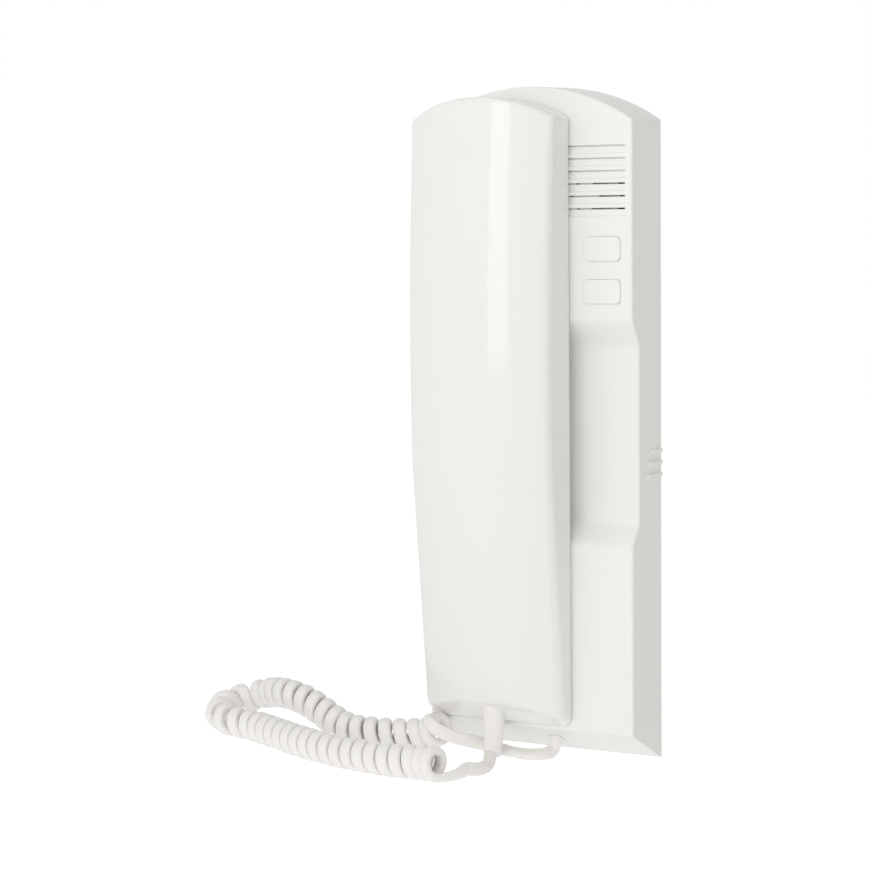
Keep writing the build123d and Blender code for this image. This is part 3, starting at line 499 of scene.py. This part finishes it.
def routed(route: list[Point]) -> Array:
    """Points along a route's NURBS spline, whose control points are the route's own.

    Args:
        route: the control points in millimetres, with heights above the table.

    Returns:
        The spline's points in metres, in the row frame.
    """
    curve = bpy.data.curves.new("route", "CURVE")
    curve.dimensions = "3D"
    curve.resolution_u = CURVE_RESOLUTION
    spline = curve.splines.new("NURBS")
    spline.points.add(len(route) - 1)
    for control, (x, y, height) in zip(spline.points, route):
        control.co = (x * MILLIMETRE, y * MILLIMETRE, TABLE + height * MILLIMETRE, 1.0)
    spline.order_u = 3
    spline.use_endpoint_u = True
    carrier = bpy.data.objects.new("route", curve)
    bpy.context.scene.collection.objects.link(carrier)
    bpy.context.view_layer.update()
    mesh = bpy.data.meshes.new_from_object(carrier)
    points = np.empty(3 * len(mesh.vertices))
    mesh.vertices.foreach_get("co", points)
    bpy.data.meshes.remove(mesh)
    bpy.data.objects.remove(carrier)
    bpy.data.curves.remove(curve)
    return points.reshape(-1, 3)


def route_point(place: Array) -> Point:
    """A place in metres as a point of a route."""
    x, y, height = (place - (0.0, 0.0, TABLE)) / MILLIMETRE
    return float(x), float(y), float(height)


def along_line(line: Array) -> Array:
    """Distance along a line of each of its points."""
    return np.concatenate([[0.0], np.cumsum(np.linalg.norm(np.diff(line, axis=0), axis=1))])


def sampled(values: Array, places: Array, wanted: Array) -> Array:
    """Rows of values between given ones.

    Args:
        values: one row for each given place.
        places: the given places along a line, in rising order.
        wanted: the places that rows are wanted at.

    Returns:
        One row for each wanted place, straight between its neighbours.
    """
    return np.stack([np.interp(wanted, places, column) for column in values.T], axis=1)


def evenly(line: Array, step: float) -> Array:
    """The line's points again, in even steps along it."""
    places = along_line(line)
    return sampled(line, places, np.linspace(0.0, places[-1], int(round(places[-1] / step)) + 1))


@dataclass
class CurlyCord:
    """The curly cord: a lead out of the base, a coil that lies in a loop, and a lead up to the handset.

    The cord is flat, and its flat side lies against the coil's axis and on the table.
    """

    thickness: float = 0.0029
    width: float = 0.0043
    fullness: float = 2.5
    coil_radius: float = 0.00375
    turns: float = 40.5
    flare_shares: tuple[float, ...] = (0.0, 0.03, 0.85, 0.97, 1.0)
    flares: tuple[float, ...] = (1.08, 1.0, 1.0, 1.06, 1.1)
    pitch_shares: tuple[float, ...] = (0.0, 0.32, 0.38, 0.52, 0.58, 1.0)
    pitches: tuple[float, ...] = (0.005, 0.005, 0.0072, 0.0072, 0.0056, 0.0043)
    base_face_shares: tuple[float, ...] = (0.0, 0.15, 0.35, 0.5, 0.7, 0.9, 1.0)
    base_faces: tuple[Point, ...] = (
        (0.45, -0.9, 0.0), (0.3, -0.6, 0.6), (0.1, -0.2, 1.0), (0.3, -0.7, 0.6), (0.4, -0.9, 0.25),
        (0.3, -0.8, 0.5), (0.0, -0.15, 1.0),
    )
    handset_face_shares: tuple[float, ...] = (0.0, 0.08, 0.2, 0.4, 0.6, 0.8, 1.0)
    handset_faces: tuple[Point, ...] = (
        (0.0, 0.0, -1.0), (0.2, -0.5, -0.8), (0.4, -0.85, -0.3), (0.5, -0.85, 0.2), (0.3, -0.5, 0.8),
        (0.2, -0.5, 0.8), (0.3, -0.95, 0.0),
    )
    lead_reach: float = 0.0045
    axis_step: float = 0.00003
    ring_step: float = 0.0004
    sides: int = 20
    lengths: dict[str, float] = field(default_factory=dict)

    def helix(self) -> tuple[Array, Array, int]:
        """The coil's middle line: a helix about the axis.

        The line is the axis plus the coil's radius towards the cosine of the turned angle upwards and
        its sine sideways. It starts at the top of the first turn and ends at the bottom of the last.

        Returns:
            The points from the base's side to the handset's, the direction from the axis at each, and
            the number of the point at the middle of the turn.
        """
        back = routed(BACK_RUN_ROUTE + [TURN_MIDDLE])
        front = routed([TURN_MIDDLE] + FRONT_RUN_ROUTE)
        middle = along_line(back)[-1]
        axis = evenly(np.vstack([back, front[1:]]), self.axis_step)
        along = along_line(axis)
        forward = unit(np.gradient(axis, axis=0))
        upward = unit(np.array([0.0, 0.0, 1.0]) - forward * forward[:, 2:])
        sideways = np.cross(forward, upward)
        share = along / along[-1]
        pitch = np.interp(share, self.pitch_shares, self.pitches)
        turned_by = np.concatenate([[0.0], np.cumsum(self.axis_step / pitch[1:])])
        LOG.info("the coil's pitches give %.2f turns", turned_by[-1])
        angle = 2.0 * math.pi * turned_by * self.turns / turned_by[-1]
        outward = np.cos(angle)[:, None] * upward + np.sin(angle)[:, None] * sideways
        radius = self.coil_radius * np.interp(share, self.flare_shares, self.flares)
        return axis + radius[:, None] * outward, outward, int(np.searchsorted(along, middle))

    def wire(self) -> list[tuple[Array, Array]]:
        """The whole cord's middle line and the direction of its thickness, in two lengths.

        Each lead leaves the coil along the helix's own direction, and its thickness turns through the
        directions given along it, each made square to the wire.

        Returns:
            For the lengths from the base and from the handset to the turn, points and directions.
        """
        helix, outward, middle = self.helix()
        leaving_base = unit(helix[1] - helix[0])
        leaving_coil = unit(helix[-1] - helix[-2])
        base_lead = routed(
            OUTLET_RUN + BASE_LEAD_ROUTE
            + [route_point(helix[0] - leaving_base * self.lead_reach), route_point(helix[0])]
        )
        handset_lead = routed(
            [route_point(helix[-1]), route_point(helix[-1] + leaving_coil * self.lead_reach)]
            + HANDSET_LEAD_ROUTE
        )
        lengths = []
        for lead, coil, coil_across, shares, faces in (
            (base_lead, helix[:middle + 1], outward[:middle + 1], self.base_face_shares, self.base_faces),
            (
                handset_lead[::-1], helix[middle:][::-1], outward[middle:][::-1],
                tuple(1.0 - share for share in self.handset_face_shares[::-1]), self.handset_faces[::-1],
            ),
        ):
            lead_places = along_line(lead)
            lead_across = sampled(np.array(faces), np.array(shares), lead_places / lead_places[-1])
            line = np.vstack([lead, coil[1:]])
            across = np.vstack([lead_across, coil_across[1:]])
            places = along_line(line)
            wanted = np.linspace(0.0, places[-1], int(round(places[-1] / self.ring_step)) + 1)
            even = sampled(line, places, wanted)
            ways = unit(np.gradient(even, axis=0))
            even_across = sampled(across, places, wanted)
            square = even_across - ways * (even_across * ways).sum(axis=1, keepdims=True)
            lengths.append((even, unit(square)))
        return lengths

    def build(self, wardrobe: Wardrobe) -> list[bpy.types.Object]:
        """Args:
            wardrobe: the materials.

        Returns:
            The two pieces.
        """
        made = []
        for name, (line, across) in zip(("cord_from_base", "cord_from_handset"), self.wire()):
            halves = np.broadcast_to([self.thickness / 2.0, self.width / 2.0], (len(line), 2))
            piece = tube(name, line, across, halves, self.sides, self.fullness)
            wardrobe.dress(piece, "cord_white")
            self.lengths[name] = float(along_line(line)[-1])
            LOG.info("%s is %.3f m long", name, self.lengths[name])
            made.append(piece)
        from_base, from_handset = made
        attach(from_base, "base")
        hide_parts("cord_lead_base", "curly_coil")
        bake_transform(from_handset)
        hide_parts("cord_lead_handset", "curly_coil")
        return made


@dataclass
class StrainRelief:
    """The soft tapered sleeve that holds the cord under the handset."""

    neck_radius: float = 0.0038
    tip_radius: float = 0.003
    lip: float = 0.0006
    lip_steps: int = 7
    sides: int = 48
    step: float = 0.00025

    def build(self, wardrobe: Wardrobe) -> bpy.types.Object:
        """Make the sleeve: circles that narrow evenly from the neck to the tip, with a rounded lip.

        Args:
            wardrobe: the materials.

        Returns:
            The sleeve.
        """
        line = evenly(routed(BOOT_ROUTE), self.step)
        places = along_line(line)
        radii = self.neck_radius + (self.tip_radius - self.neck_radius) * smooth(places / places[-1])
        turn = np.linspace(0.0, math.pi / 2.0, self.lip_steps)[1:]
        lip_line = line[-1] + unit(line[-1] - line[-2]) * (self.lip * np.sin(turn))[:, None]
        lip_radii = self.tip_radius - self.lip * (1.0 - np.cos(turn))
        whole = np.vstack([line, lip_line])
        halves = np.concatenate([radii, lip_radii])[:, None].repeat(2, axis=1)
        piece = tube("strain_relief", whole, carried(whole, np.array([1.0, 0.0, 0.0])), halves, self.sides)
        wardrobe.dress(piece, "cord_white")
        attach(piece, "handset")
        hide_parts("cord_boot")
        return piece


# Handset
@dataclass
class HandsetShell:
    """The handset's front shell: a crowned front, square sides, an arched top and a slanted foot."""

    edge_depth: float = 0.0365
    edge_peak: float = 0.130
    brow_radius: float = 0.85
    chin_height: float = 0.095
    chin_slope: float = 0.108
    crown: float = 0.0067
    arch_rise: float = 0.0065
    foot_slope: float = 0.67
    wall: float = 0.0022
    shoulder: float = 0.0012
    foot_corner: float = 0.0032
    side_round: float = 0.0017
    end_round: float = 0.0011
    round_fade: float = 0.012
    chin_fade: float = 0.012
    foot_fade: float = 0.06
    rim: float = 0.0002
    least_round: float = 0.0006
    inner_round_share: float = 0.4
    corner_steps: int = 10
    end_steps: int = 60
    side_steps: int = 200
    first_climb: float = 0.02
    climb_steps: int = 26
    turn_steps: int = 11
    slant_rounds: int = 6
    merge: float = 2e-6

    def __post_init__(self) -> None:
        """Read the shell's own box from the frame."""
        low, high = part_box("handset_front_shell")
        self.middle = (low.x + high.x) / 2.0
        self.half_width = (high.x - low.x) / 2.0
        self.back = -high.y
        self.foot = low.z - TABLE
        self.top = high.z - TABLE

    def front(self, x: Array, height: Array) -> Array:
        """Depth of the front: an edge that follows a wide arc above a straight chin, plus a round crown.

        The chin's line and the arc change over softly about the chin's top.

        Args:
            x: places across, from the handset's middle.
            height: heights above the table.

        Returns:
            The depths.
        """
        brow = self.edge_depth - (height - self.edge_peak) ** 2 / (2.0 * self.brow_radius)
        knee = self.edge_depth - (self.chin_height - self.edge_peak) ** 2 / (2.0 * self.brow_radius)
        chin = knee - self.chin_slope * (self.chin_height - height)
        above = smooth((height - self.chin_height + self.chin_fade) / (2.0 * self.chin_fade))
        edge = chin + (brow - chin) * above
        radius = (self.half_width**2 + self.crown**2) / (2.0 * self.crown)
        sagitta = math.sqrt(radius**2 - self.half_width**2)
        return edge + np.sqrt(radius**2 - np.minimum(np.abs(x), self.half_width) ** 2) - sagitta

    def outline(self, inset: float) -> tuple[Array, Array, Array]:
        """Outline of a skin seen from the front: straight sides and foot, an arched top, round corners.

        Args:
            inset: how far inside the outer skin this one lies.

        Returns:
            The points across and up, from the left end of the foot and round to the right, their
            outward directions, and the radius that rounds the front edge at each.
        """
        half = self.half_width - inset
        shoulder = max(self.shoulder - inset, self.least_round)
        corner = max(self.foot_corner - inset, self.least_round)
        arch = (self.half_width**2 + self.arch_rise**2) / (2.0 * self.arch_rise)
        arch_low = self.top - arch
        arch -= inset
        shoulder_x = half - shoulder
        shoulder_height = arch_low + math.sqrt((arch - shoulder) ** 2 - shoulder_x**2)
        lean = math.atan2(shoulder_height - arch_low, shoulder_x)
        foot_x, foot_height = half - corner, self.foot + inset + corner

        def bow(centre: tuple[float, float], radius: float, start: float, end: float, steps: int) -> Array:
            """Points and outward directions of an arc."""
            angle = np.linspace(start, end, steps + 1)
            way = np.stack([np.cos(angle), np.sin(angle)], axis=1)
            return np.hstack([np.array(centre) + radius * way, way])

        def run(start: tuple[float, float], end: tuple[float, float], way: tuple[float, float]) -> Array:
            """Points between the ends of a straight side, with its outward direction."""
            steps = self.end_steps if way[0] == 0.0 else self.side_steps
            points = np.linspace(start, end, steps + 1)[1:-1]
            return np.hstack([points, np.broadcast_to(way, points.shape)])

        quarter, count = math.pi / 2.0, self.corner_steps
        closed = np.vstack([
            bow((-foot_x, foot_height), corner, 2.0 * quarter, 3.0 * quarter, count),
            run((-foot_x, foot_height - corner), (foot_x, foot_height - corner), (0.0, -1.0)),
            bow((foot_x, foot_height), corner, 3.0 * quarter, 4.0 * quarter, count),
            run((half, foot_height), (half, shoulder_height), (1.0, 0.0)),
            bow((shoulder_x, shoulder_height), shoulder, 0.0, lean, count),
            bow((0.0, arch_low), arch, lean, 2.0 * quarter - lean, self.end_steps)[1:-1],
            bow((-shoulder_x, shoulder_height), shoulder, 2.0 * quarter - lean, 2.0 * quarter, count),
            run((-half, shoulder_height), (-half, foot_height), (-1.0, 0.0)),
        ])
        points, outward = closed[:, :2], closed[:, 2:]
        side_part = smooth((shoulder_height - points[:, 1]) / self.round_fade)
        level = np.maximum(0.0, 1.0 - np.abs(outward[:, 1]))
        rounding = self.end_round + (self.side_round - self.end_round) * side_part * smooth(level)
        rounding = np.maximum(rounding - inset * self.inner_round_share, self.least_round)
        return points, outward, rounding

    def patch(self, ring: Array) -> Array:
        """Grid inside a closed ring: each point is drawn from the four sides, less what counts double.

        Args:
            ring: the ring's points across and up, in the outline's order.

        Returns:
            Rows from the foot to the top, columns from left to right.
        """
        across = 2 * self.corner_steps + self.end_steps
        up = self.side_steps
        foot = ring[:across + 1]
        right = ring[across:across + up + 1]
        top = ring[across + up:2 * across + up + 1][::-1]
        left = np.vstack([ring[2 * across + up:], ring[:1]])[::-1]
        u = ((foot - foot[0])[:, 0] / (foot[-1] - foot[0])[0])[None, :, None]
        v = ((right - right[0])[:, 1] / (right[-1] - right[0])[1])[:, None, None]
        ruled = (1.0 - v) * foot[None] + v * top[None] + (1.0 - u) * left[:, None] + u * right[:, None]
        corners = (
            (1.0 - u) * (1.0 - v) * foot[0] + u * (1.0 - v) * foot[-1]
            + (1.0 - u) * v * top[0] + u * v * top[-1]
        )
        return ruled - corners

    def placed(self, flat: Array, rise: Array, cut: Array, inset: float) -> Array:
        """Places of points given across and up, at a share of the way from the back to the front.

        The foot's slant lifts each point by its slope times the depth, fading out above the foot.

        Args:
            flat: the points across and up.
            rise: the share of the way to the front.
            cut: how far the front's rounded edge lies behind the front there.
            inset: how far inside the outer skin the points lie.

        Returns:
            The points in metres, in the row frame.
        """
        fade = 1.0 - smooth((flat[..., 1] - self.foot) / self.foot_fade)
        height = flat[..., 1]
        depth = self.back + np.zeros_like(height)
        for _ in range(self.slant_rounds):
            height = flat[..., 1] + self.foot_slope * (depth - self.back) * fade
            front = self.front(flat[..., 0], height) - inset - cut
            depth = self.back + (front - self.back) * rise
        return np.stack([self.middle + flat[..., 0], -depth, TABLE + height], axis=-1)

    def skin(self, inset: float) -> tuple[Array, Array]:
        """One skin of the shell: rings that climb the sides and turn over the front edge, and the front.

        Args:
            inset: how far inside the outer skin this one lies.

        Returns:
            The rings from the back to the front edge, and the grid of the front inside them.
        """
        outline, outward, rounding = self.outline(inset)
        rim = outline - outward * (self.rim if inset == 0.0 else -self.rim)
        climb = np.linspace(self.first_climb, 1.0, self.climb_steps)[:, None]
        quarter = np.linspace(0.0, math.pi / 2.0, self.turn_steps)[1:, None]
        climbing = np.broadcast_to(outline, (len(climb), *outline.shape))
        turning = outline[None] - outward[None] * (rounding[None] * (1.0 - np.cos(quarter)))[:, :, None]
        flat = np.concatenate([rim[None], climbing, turning])
        rise = np.concatenate([[[0.0]], climb, np.ones_like(quarter)])
        cut = np.concatenate([[[1.0]], np.ones_like(climb), 1.0 - np.sin(quarter)]) * rounding[None]
        rings = self.placed(flat, rise, cut, inset)
        front = self.patch(turning[-1])
        none = np.zeros(front.shape[:2])
        return rings, self.placed(front, none + 1.0, none, inset)

    def build(self, wardrobe: Wardrobe) -> bpy.types.Object:
        """Make the shell's closed wall: the outer skin, its rim and the inner skin.

        Args:
            wardrobe: the materials.

        Returns:
            The shell.
        """
        (outer, outer_front), (inner, inner_front) = self.skin(0.0), self.skin(self.wall)
        piece = surface("handset_shell", [
            (np.concatenate([outer[::-1], inner]), True), (outer_front, False), (inner_front, False),
        ])
        finish_mesh(piece, self.merge)
        wardrobe.dress(piece, "handset_white")
        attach(piece, "handset")
        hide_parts("handset_front_shell")
        return piece


# Call speaker
@dataclass
class CallSpeaker:
    """The small speaker behind the louvres: a pressed rim, a rolled edge and a domed cap."""

    rim: float = 0.0012
    roll: float = 0.0005
    magnet_share: float = 0.65
    magnet_depth: float = 0.003
    cap_radius: float = 0.00465
    cap_rise: float = 0.0021
    cap_round: float = 0.0006
    rim_drop: float = 0.0012
    rim_break: float = 0.0002
    roll_share: float = 0.6
    axis_radius: float = 0.0001
    arc_steps: int = 9
    sides: int = 96

    def build(self, wardrobe: Wardrobe) -> bpy.types.Object:
        """Make the speaker as one turned shape about its axis.

        Args:
            wardrobe: the materials.

        Returns:
            The speaker.
        """
        low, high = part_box("call_speaker")
        radius = (high.x - low.x) / 2.0
        centre = ((low.x + high.x) / 2.0, 0.0, (low.z + high.z) / 2.0)
        cap_top, back = -low.y, -high.y
        front = cap_top - self.rim_drop
        floor = cap_top - self.cap_rise
        edge = radius - self.rim
        magnet = radius * self.magnet_share
        share = np.linspace(0.0, 1.0, self.arc_steps)
        rolled = np.stack([
            edge - (edge - self.cap_radius) * self.roll_share * share,
            floor + self.roll * np.sin(math.pi * share),
        ], axis=1)
        turn = np.linspace(0.0, math.pi / 2.0, self.arc_steps)
        cap = np.stack([
            self.cap_radius - self.cap_round * (1.0 - np.cos(turn)),
            cap_top - self.cap_round * (1.0 - np.sin(turn)),
        ], axis=1)
        profile = np.vstack([
            [[self.axis_radius, back], [magnet, back], [magnet, back + self.magnet_depth]],
            [[radius, back + self.magnet_depth], [radius, front - self.rim_break]],
            [[radius - self.rim_break, front], [edge, front], [edge, floor]],
            rolled, [[self.cap_radius, floor]], cap, [[self.axis_radius, cap_top]],
        ])
        piece = turned("call_speaker_cone", profile, centre, self.sides)
        wardrobe.dress(piece, "speaker_white")
        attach(piece, "base")
        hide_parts("call_speaker")
        return piece


# Push-buttons
@dataclass(frozen=True)
class PushButton:
    """A push-button: a low dome, a rolled edge, upright sides close to its window, a flange and a stem."""

    node: str
    body: str
    flange: float = 0.001
    corner: float = 0.0016
    least_corner: float = 0.00005
    roll: float = 0.00045
    dome: float = 0.00006
    dome_reach: float = 0.0024
    skirt: float = 0.0001
    flange_front: float = 0.0032
    flange_back: float = 0.0044
    stem_radius: float = 0.002
    corner_steps: int = 14
    dome_steps: int = 8
    roll_steps: int = 9

    def outline(self, half: tuple[float, float], corner: float) -> Array:
        """A rounded rectangle about the button's axis.

        Args:
            half: half its width and half its height.
            corner: the radius of its corners.

        Returns:
            Its points across and up, one row each.
        """
        turn = np.linspace(0.0, math.pi / 2.0, self.corner_steps)
        arcs = []
        for quarter, (side, top) in enumerate(((1.0, 1.0), (-1.0, 1.0), (-1.0, -1.0), (1.0, -1.0))):
            angle = turn + quarter * math.pi / 2.0
            arcs.append(np.stack([
                side * (half[0] - corner) + corner * np.cos(angle),
                top * (half[1] - corner) + corner * np.sin(angle),
            ], axis=1))
        return np.vstack(arcs)

    def build(self, wardrobe: Wardrobe) -> bpy.types.Object:
        """Make the button as rings from the middle of its face to the end of its stem.

        Args:
            wardrobe: the materials.

        Returns:
            The button.
        """
        low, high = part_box(self.node)
        middle = ((low.x + high.x) / 2.0, (low.z + high.z) / 2.0)
        half = ((high.x - low.x) / 2.0 - self.flange, (high.z - low.z) / 2.0 - self.flange)
        rings = []

        def ring(inset: float, depth: float) -> None:
            """Add a ring that lies inside the button's outline and behind the middle of its face."""
            size = (half[0] - inset, half[1] - inset)
            rings.append((self.outline(size, max(self.corner - inset, self.least_corner)), low.y + depth))

        shoulder = self.roll - self.skirt
        for share in np.linspace(1.0, 0.0, self.dome_steps):
            ring(shoulder + (self.dome_reach - shoulder) * share, self.dome * (1.0 - share) ** 2)
        for turn in np.linspace(math.pi / 2.0, 0.0, self.roll_steps)[1:]:
            ring(shoulder - self.roll * math.cos(turn), self.dome + self.roll * (1.0 - math.sin(turn)))
        ring(-self.skirt, self.flange_front)
        wide = (half[0] + self.flange, half[1] + self.flange)
        for depth in (self.flange_front, self.flange_back):
            rings.append((self.outline(wide, self.least_corner), low.y + depth))
        stem = self.outline((self.stem_radius, self.stem_radius), self.stem_radius)
        rings += [(stem, low.y + self.flange_back), (stem, high.y)]
        grid = np.stack([
            np.stack([middle[0] + line[:, 0], np.full(len(line), depth), middle[1] + line[:, 1]], axis=1)
            for line, depth in rings
        ])
        piece = surface(self.node + "_cap", [(grid, True)], caps=True)
        finish_mesh(piece)
        wardrobe.dress(piece, "button_white")
        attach(piece, self.body)
        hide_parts(self.node)
        return piece


# Studio
def view_rays(nodes: bpy.types.Nodes, links: bpy.types.NodeLinks) -> bpy.types.NodeSocket:
    """Socket that is 1 for rays that show a background: from the camera, through glass or off a gloss.

    Args:
        nodes: the nodes of a world or a material.
        links: their links.

    Returns:
        The socket.
    """
    rays = nodes.new("ShaderNodeLightPath")
    direct, any_view = nodes.new("ShaderNodeMath"), nodes.new("ShaderNodeMath")
    direct.operation, any_view.operation = "MAXIMUM", "MAXIMUM"
    links.new(rays.outputs["Is Camera Ray"], direct.inputs[0])
    links.new(rays.outputs["Is Transmission Ray"], direct.inputs[1])
    links.new(direct.outputs[0], any_view.inputs[0])
    links.new(rays.outputs["Is Glossy Ray"], any_view.inputs[1])
    return any_view.outputs[0]


@dataclass(frozen=True)
class Softbox:
    """A flat studio lamp that faces the object, and is seen in its gloss only where it is mirrored."""

    name: str
    place: Point
    width: float
    height: float
    radiance: float
    aim: Point = (0.0, -0.02, 0.0)
    mirrored: bool = True

    def build(self) -> bpy.types.Object:
        """Create the lamp, with its power worked out as radiance times pi times area.

        Returns:
            The lamp object.
        """
        data = bpy.data.lights.new(self.name, "AREA")
        data.shape = "RECTANGLE"
        data.size, data.size_y = self.width, self.height
        data.energy = self.radiance * math.pi * self.width * self.height
        lamp = bpy.data.objects.new(self.name, data)
        bpy.context.scene.collection.objects.link(lamp)
        back = unit(np.array(self.place) - np.array(self.aim))
        right = unit(np.cross([0.0, 0.0, 1.0], back))
        turn = Matrix(np.column_stack([right, np.cross(back, right), back]).tolist()).to_4x4()
        turn.translation = self.place
        lamp.matrix_world = turn
        lamp.visible_glossy = self.mirrored
        return lamp


@dataclass
class Studio:
    """The pale table, the white background and the soft lamps."""

    reach: float = 6.0
    table_points: int = 5
    shadow_share: float = 0.2
    sky: float = 0.42
    table_glow: float = 0.49
    table_white: float = 0.5
    lamps: tuple[Softbox, ...] = (
        Softbox("key_strip", (-0.08, -1.03, 0.41), 0.26, 0.5, 2.05, aim=(0.0, -0.03, 0.41)),
        Softbox("key_foot", (-0.08, -1.03, 0.06), 0.26, 0.2, 1.7, aim=(0.0, -0.03, 0.06)),
        Softbox("right_fill", (0.62, -1.9, 0.6), 2.0, 1.2, 1.28, aim=(0.0, -0.03, 0.1), mirrored=False),
        Softbox("left_fill", (-1.1, -1.6, 0.5), 1.4, 1.2, 0.75, aim=(0.0, -0.03, 0.1), mirrored=False),
        Softbox("top_light", (0.0, -0.3, 1.3), 1.0, 1.0, 0.9),
    )

    def world(self) -> None:
        """White for what sees the background, and a soft even sky for the light."""
        world = bpy.data.worlds.new("studio_sky")
        bpy.context.scene.world = world
        world.use_nodes = True
        nodes, links = world.node_tree.nodes, world.node_tree.links
        nodes.clear()
        sky, white = nodes.new("ShaderNodeBackground"), nodes.new("ShaderNodeBackground")
        sky.inputs["Strength"].default_value = self.sky
        white.inputs["Strength"].default_value = 1.0
        for shade in (sky, white):
            shade.inputs["Color"].default_value = (1.0, 1.0, 1.0, 1.0)
        mixed, out = nodes.new("ShaderNodeMixShader"), nodes.new("ShaderNodeOutputWorld")
        links.new(view_rays(nodes, links), mixed.inputs["Fac"])
        links.new(sky.outputs[0], mixed.inputs[1])
        links.new(white.outputs[0], mixed.inputs[2])
        links.new(mixed.outputs[0], out.inputs["Surface"])

    def table(self) -> bpy.types.Object:
        """The table: pale to the light, and white with a soft shadow to the rays that show it.

        Returns:
            The table's plane.
        """
        across = np.linspace(-self.reach, self.reach, self.table_points)
        x, y = np.meshgrid(across, across, indexing="ij")
        plane = surface("table", [(np.stack([x, y, np.full_like(x, TABLE)], axis=-1), False)])
        made = bpy.data.materials.new("table_white")
        made.use_nodes = True
        nodes, links = made.node_tree.nodes, made.node_tree.links
        nodes.clear()
        out = nodes.new("ShaderNodeOutputMaterial")
        pale, shadowed = nodes.new("ShaderNodeBsdfDiffuse"), nodes.new("ShaderNodeBsdfDiffuse")
        lit, bounce = nodes.new("ShaderNodeEmission"), nodes.new("ShaderNodeAddShader")
        glow, seen = nodes.new("ShaderNodeEmission"), nodes.new("ShaderNodeAddShader")
        mixed = nodes.new("ShaderNodeMixShader")
        pale.inputs["Color"].default_value = (*[self.table_white] * 3, 1.0)
        lit.inputs["Strength"].default_value = self.table_glow
        shadowed.inputs["Color"].default_value = (*[self.shadow_share] * 3, 1.0)
        glow.inputs["Strength"].default_value = 1.0 - self.shadow_share * self.sky
        links.new(shadowed.outputs[0], seen.inputs[0])
        links.new(glow.outputs[0], seen.inputs[1])
        links.new(view_rays(nodes, links), mixed.inputs["Fac"])
        links.new(pale.outputs[0], bounce.inputs[0])
        links.new(lit.outputs[0], bounce.inputs[1])
        links.new(bounce.outputs[0], mixed.inputs[1])
        links.new(seen.outputs[0], mixed.inputs[2])
        links.new(mixed.outputs[0], out.inputs["Surface"])
        plane.data.materials.append(made)
        return plane

    def build(self) -> None:
        """Set up the background, the table and the lamps."""
        bpy.context.scene.view_settings.view_transform = "Standard"
        self.world()
        self.table()
        for lamp in self.lamps:
            lamp.build()


def main() -> None:
    """Build the scene's pieces in order."""
    PhotoCamera().build()
    LOG.info("camera placed")
    wardrobe = Wardrobe()
    wardrobe.dress_nodes()
    for piece in CurlyCord().build(wardrobe):
        LOG.info("%s built", piece.name)
    buttons = (PushButton("button_upper", "upper_button"), PushButton("button_lower", "lower_button"))
    for maker in (StrainRelief(), HandsetShell(), CallSpeaker(), *buttons):
        LOG.info("%s built", maker.build(wardrobe).name)
    Studio().build()
    LOG.info("studio built")


if __name__ == "__main__":
    logging.basicConfig(level=logging.INFO, format="%(message)s")
    main()
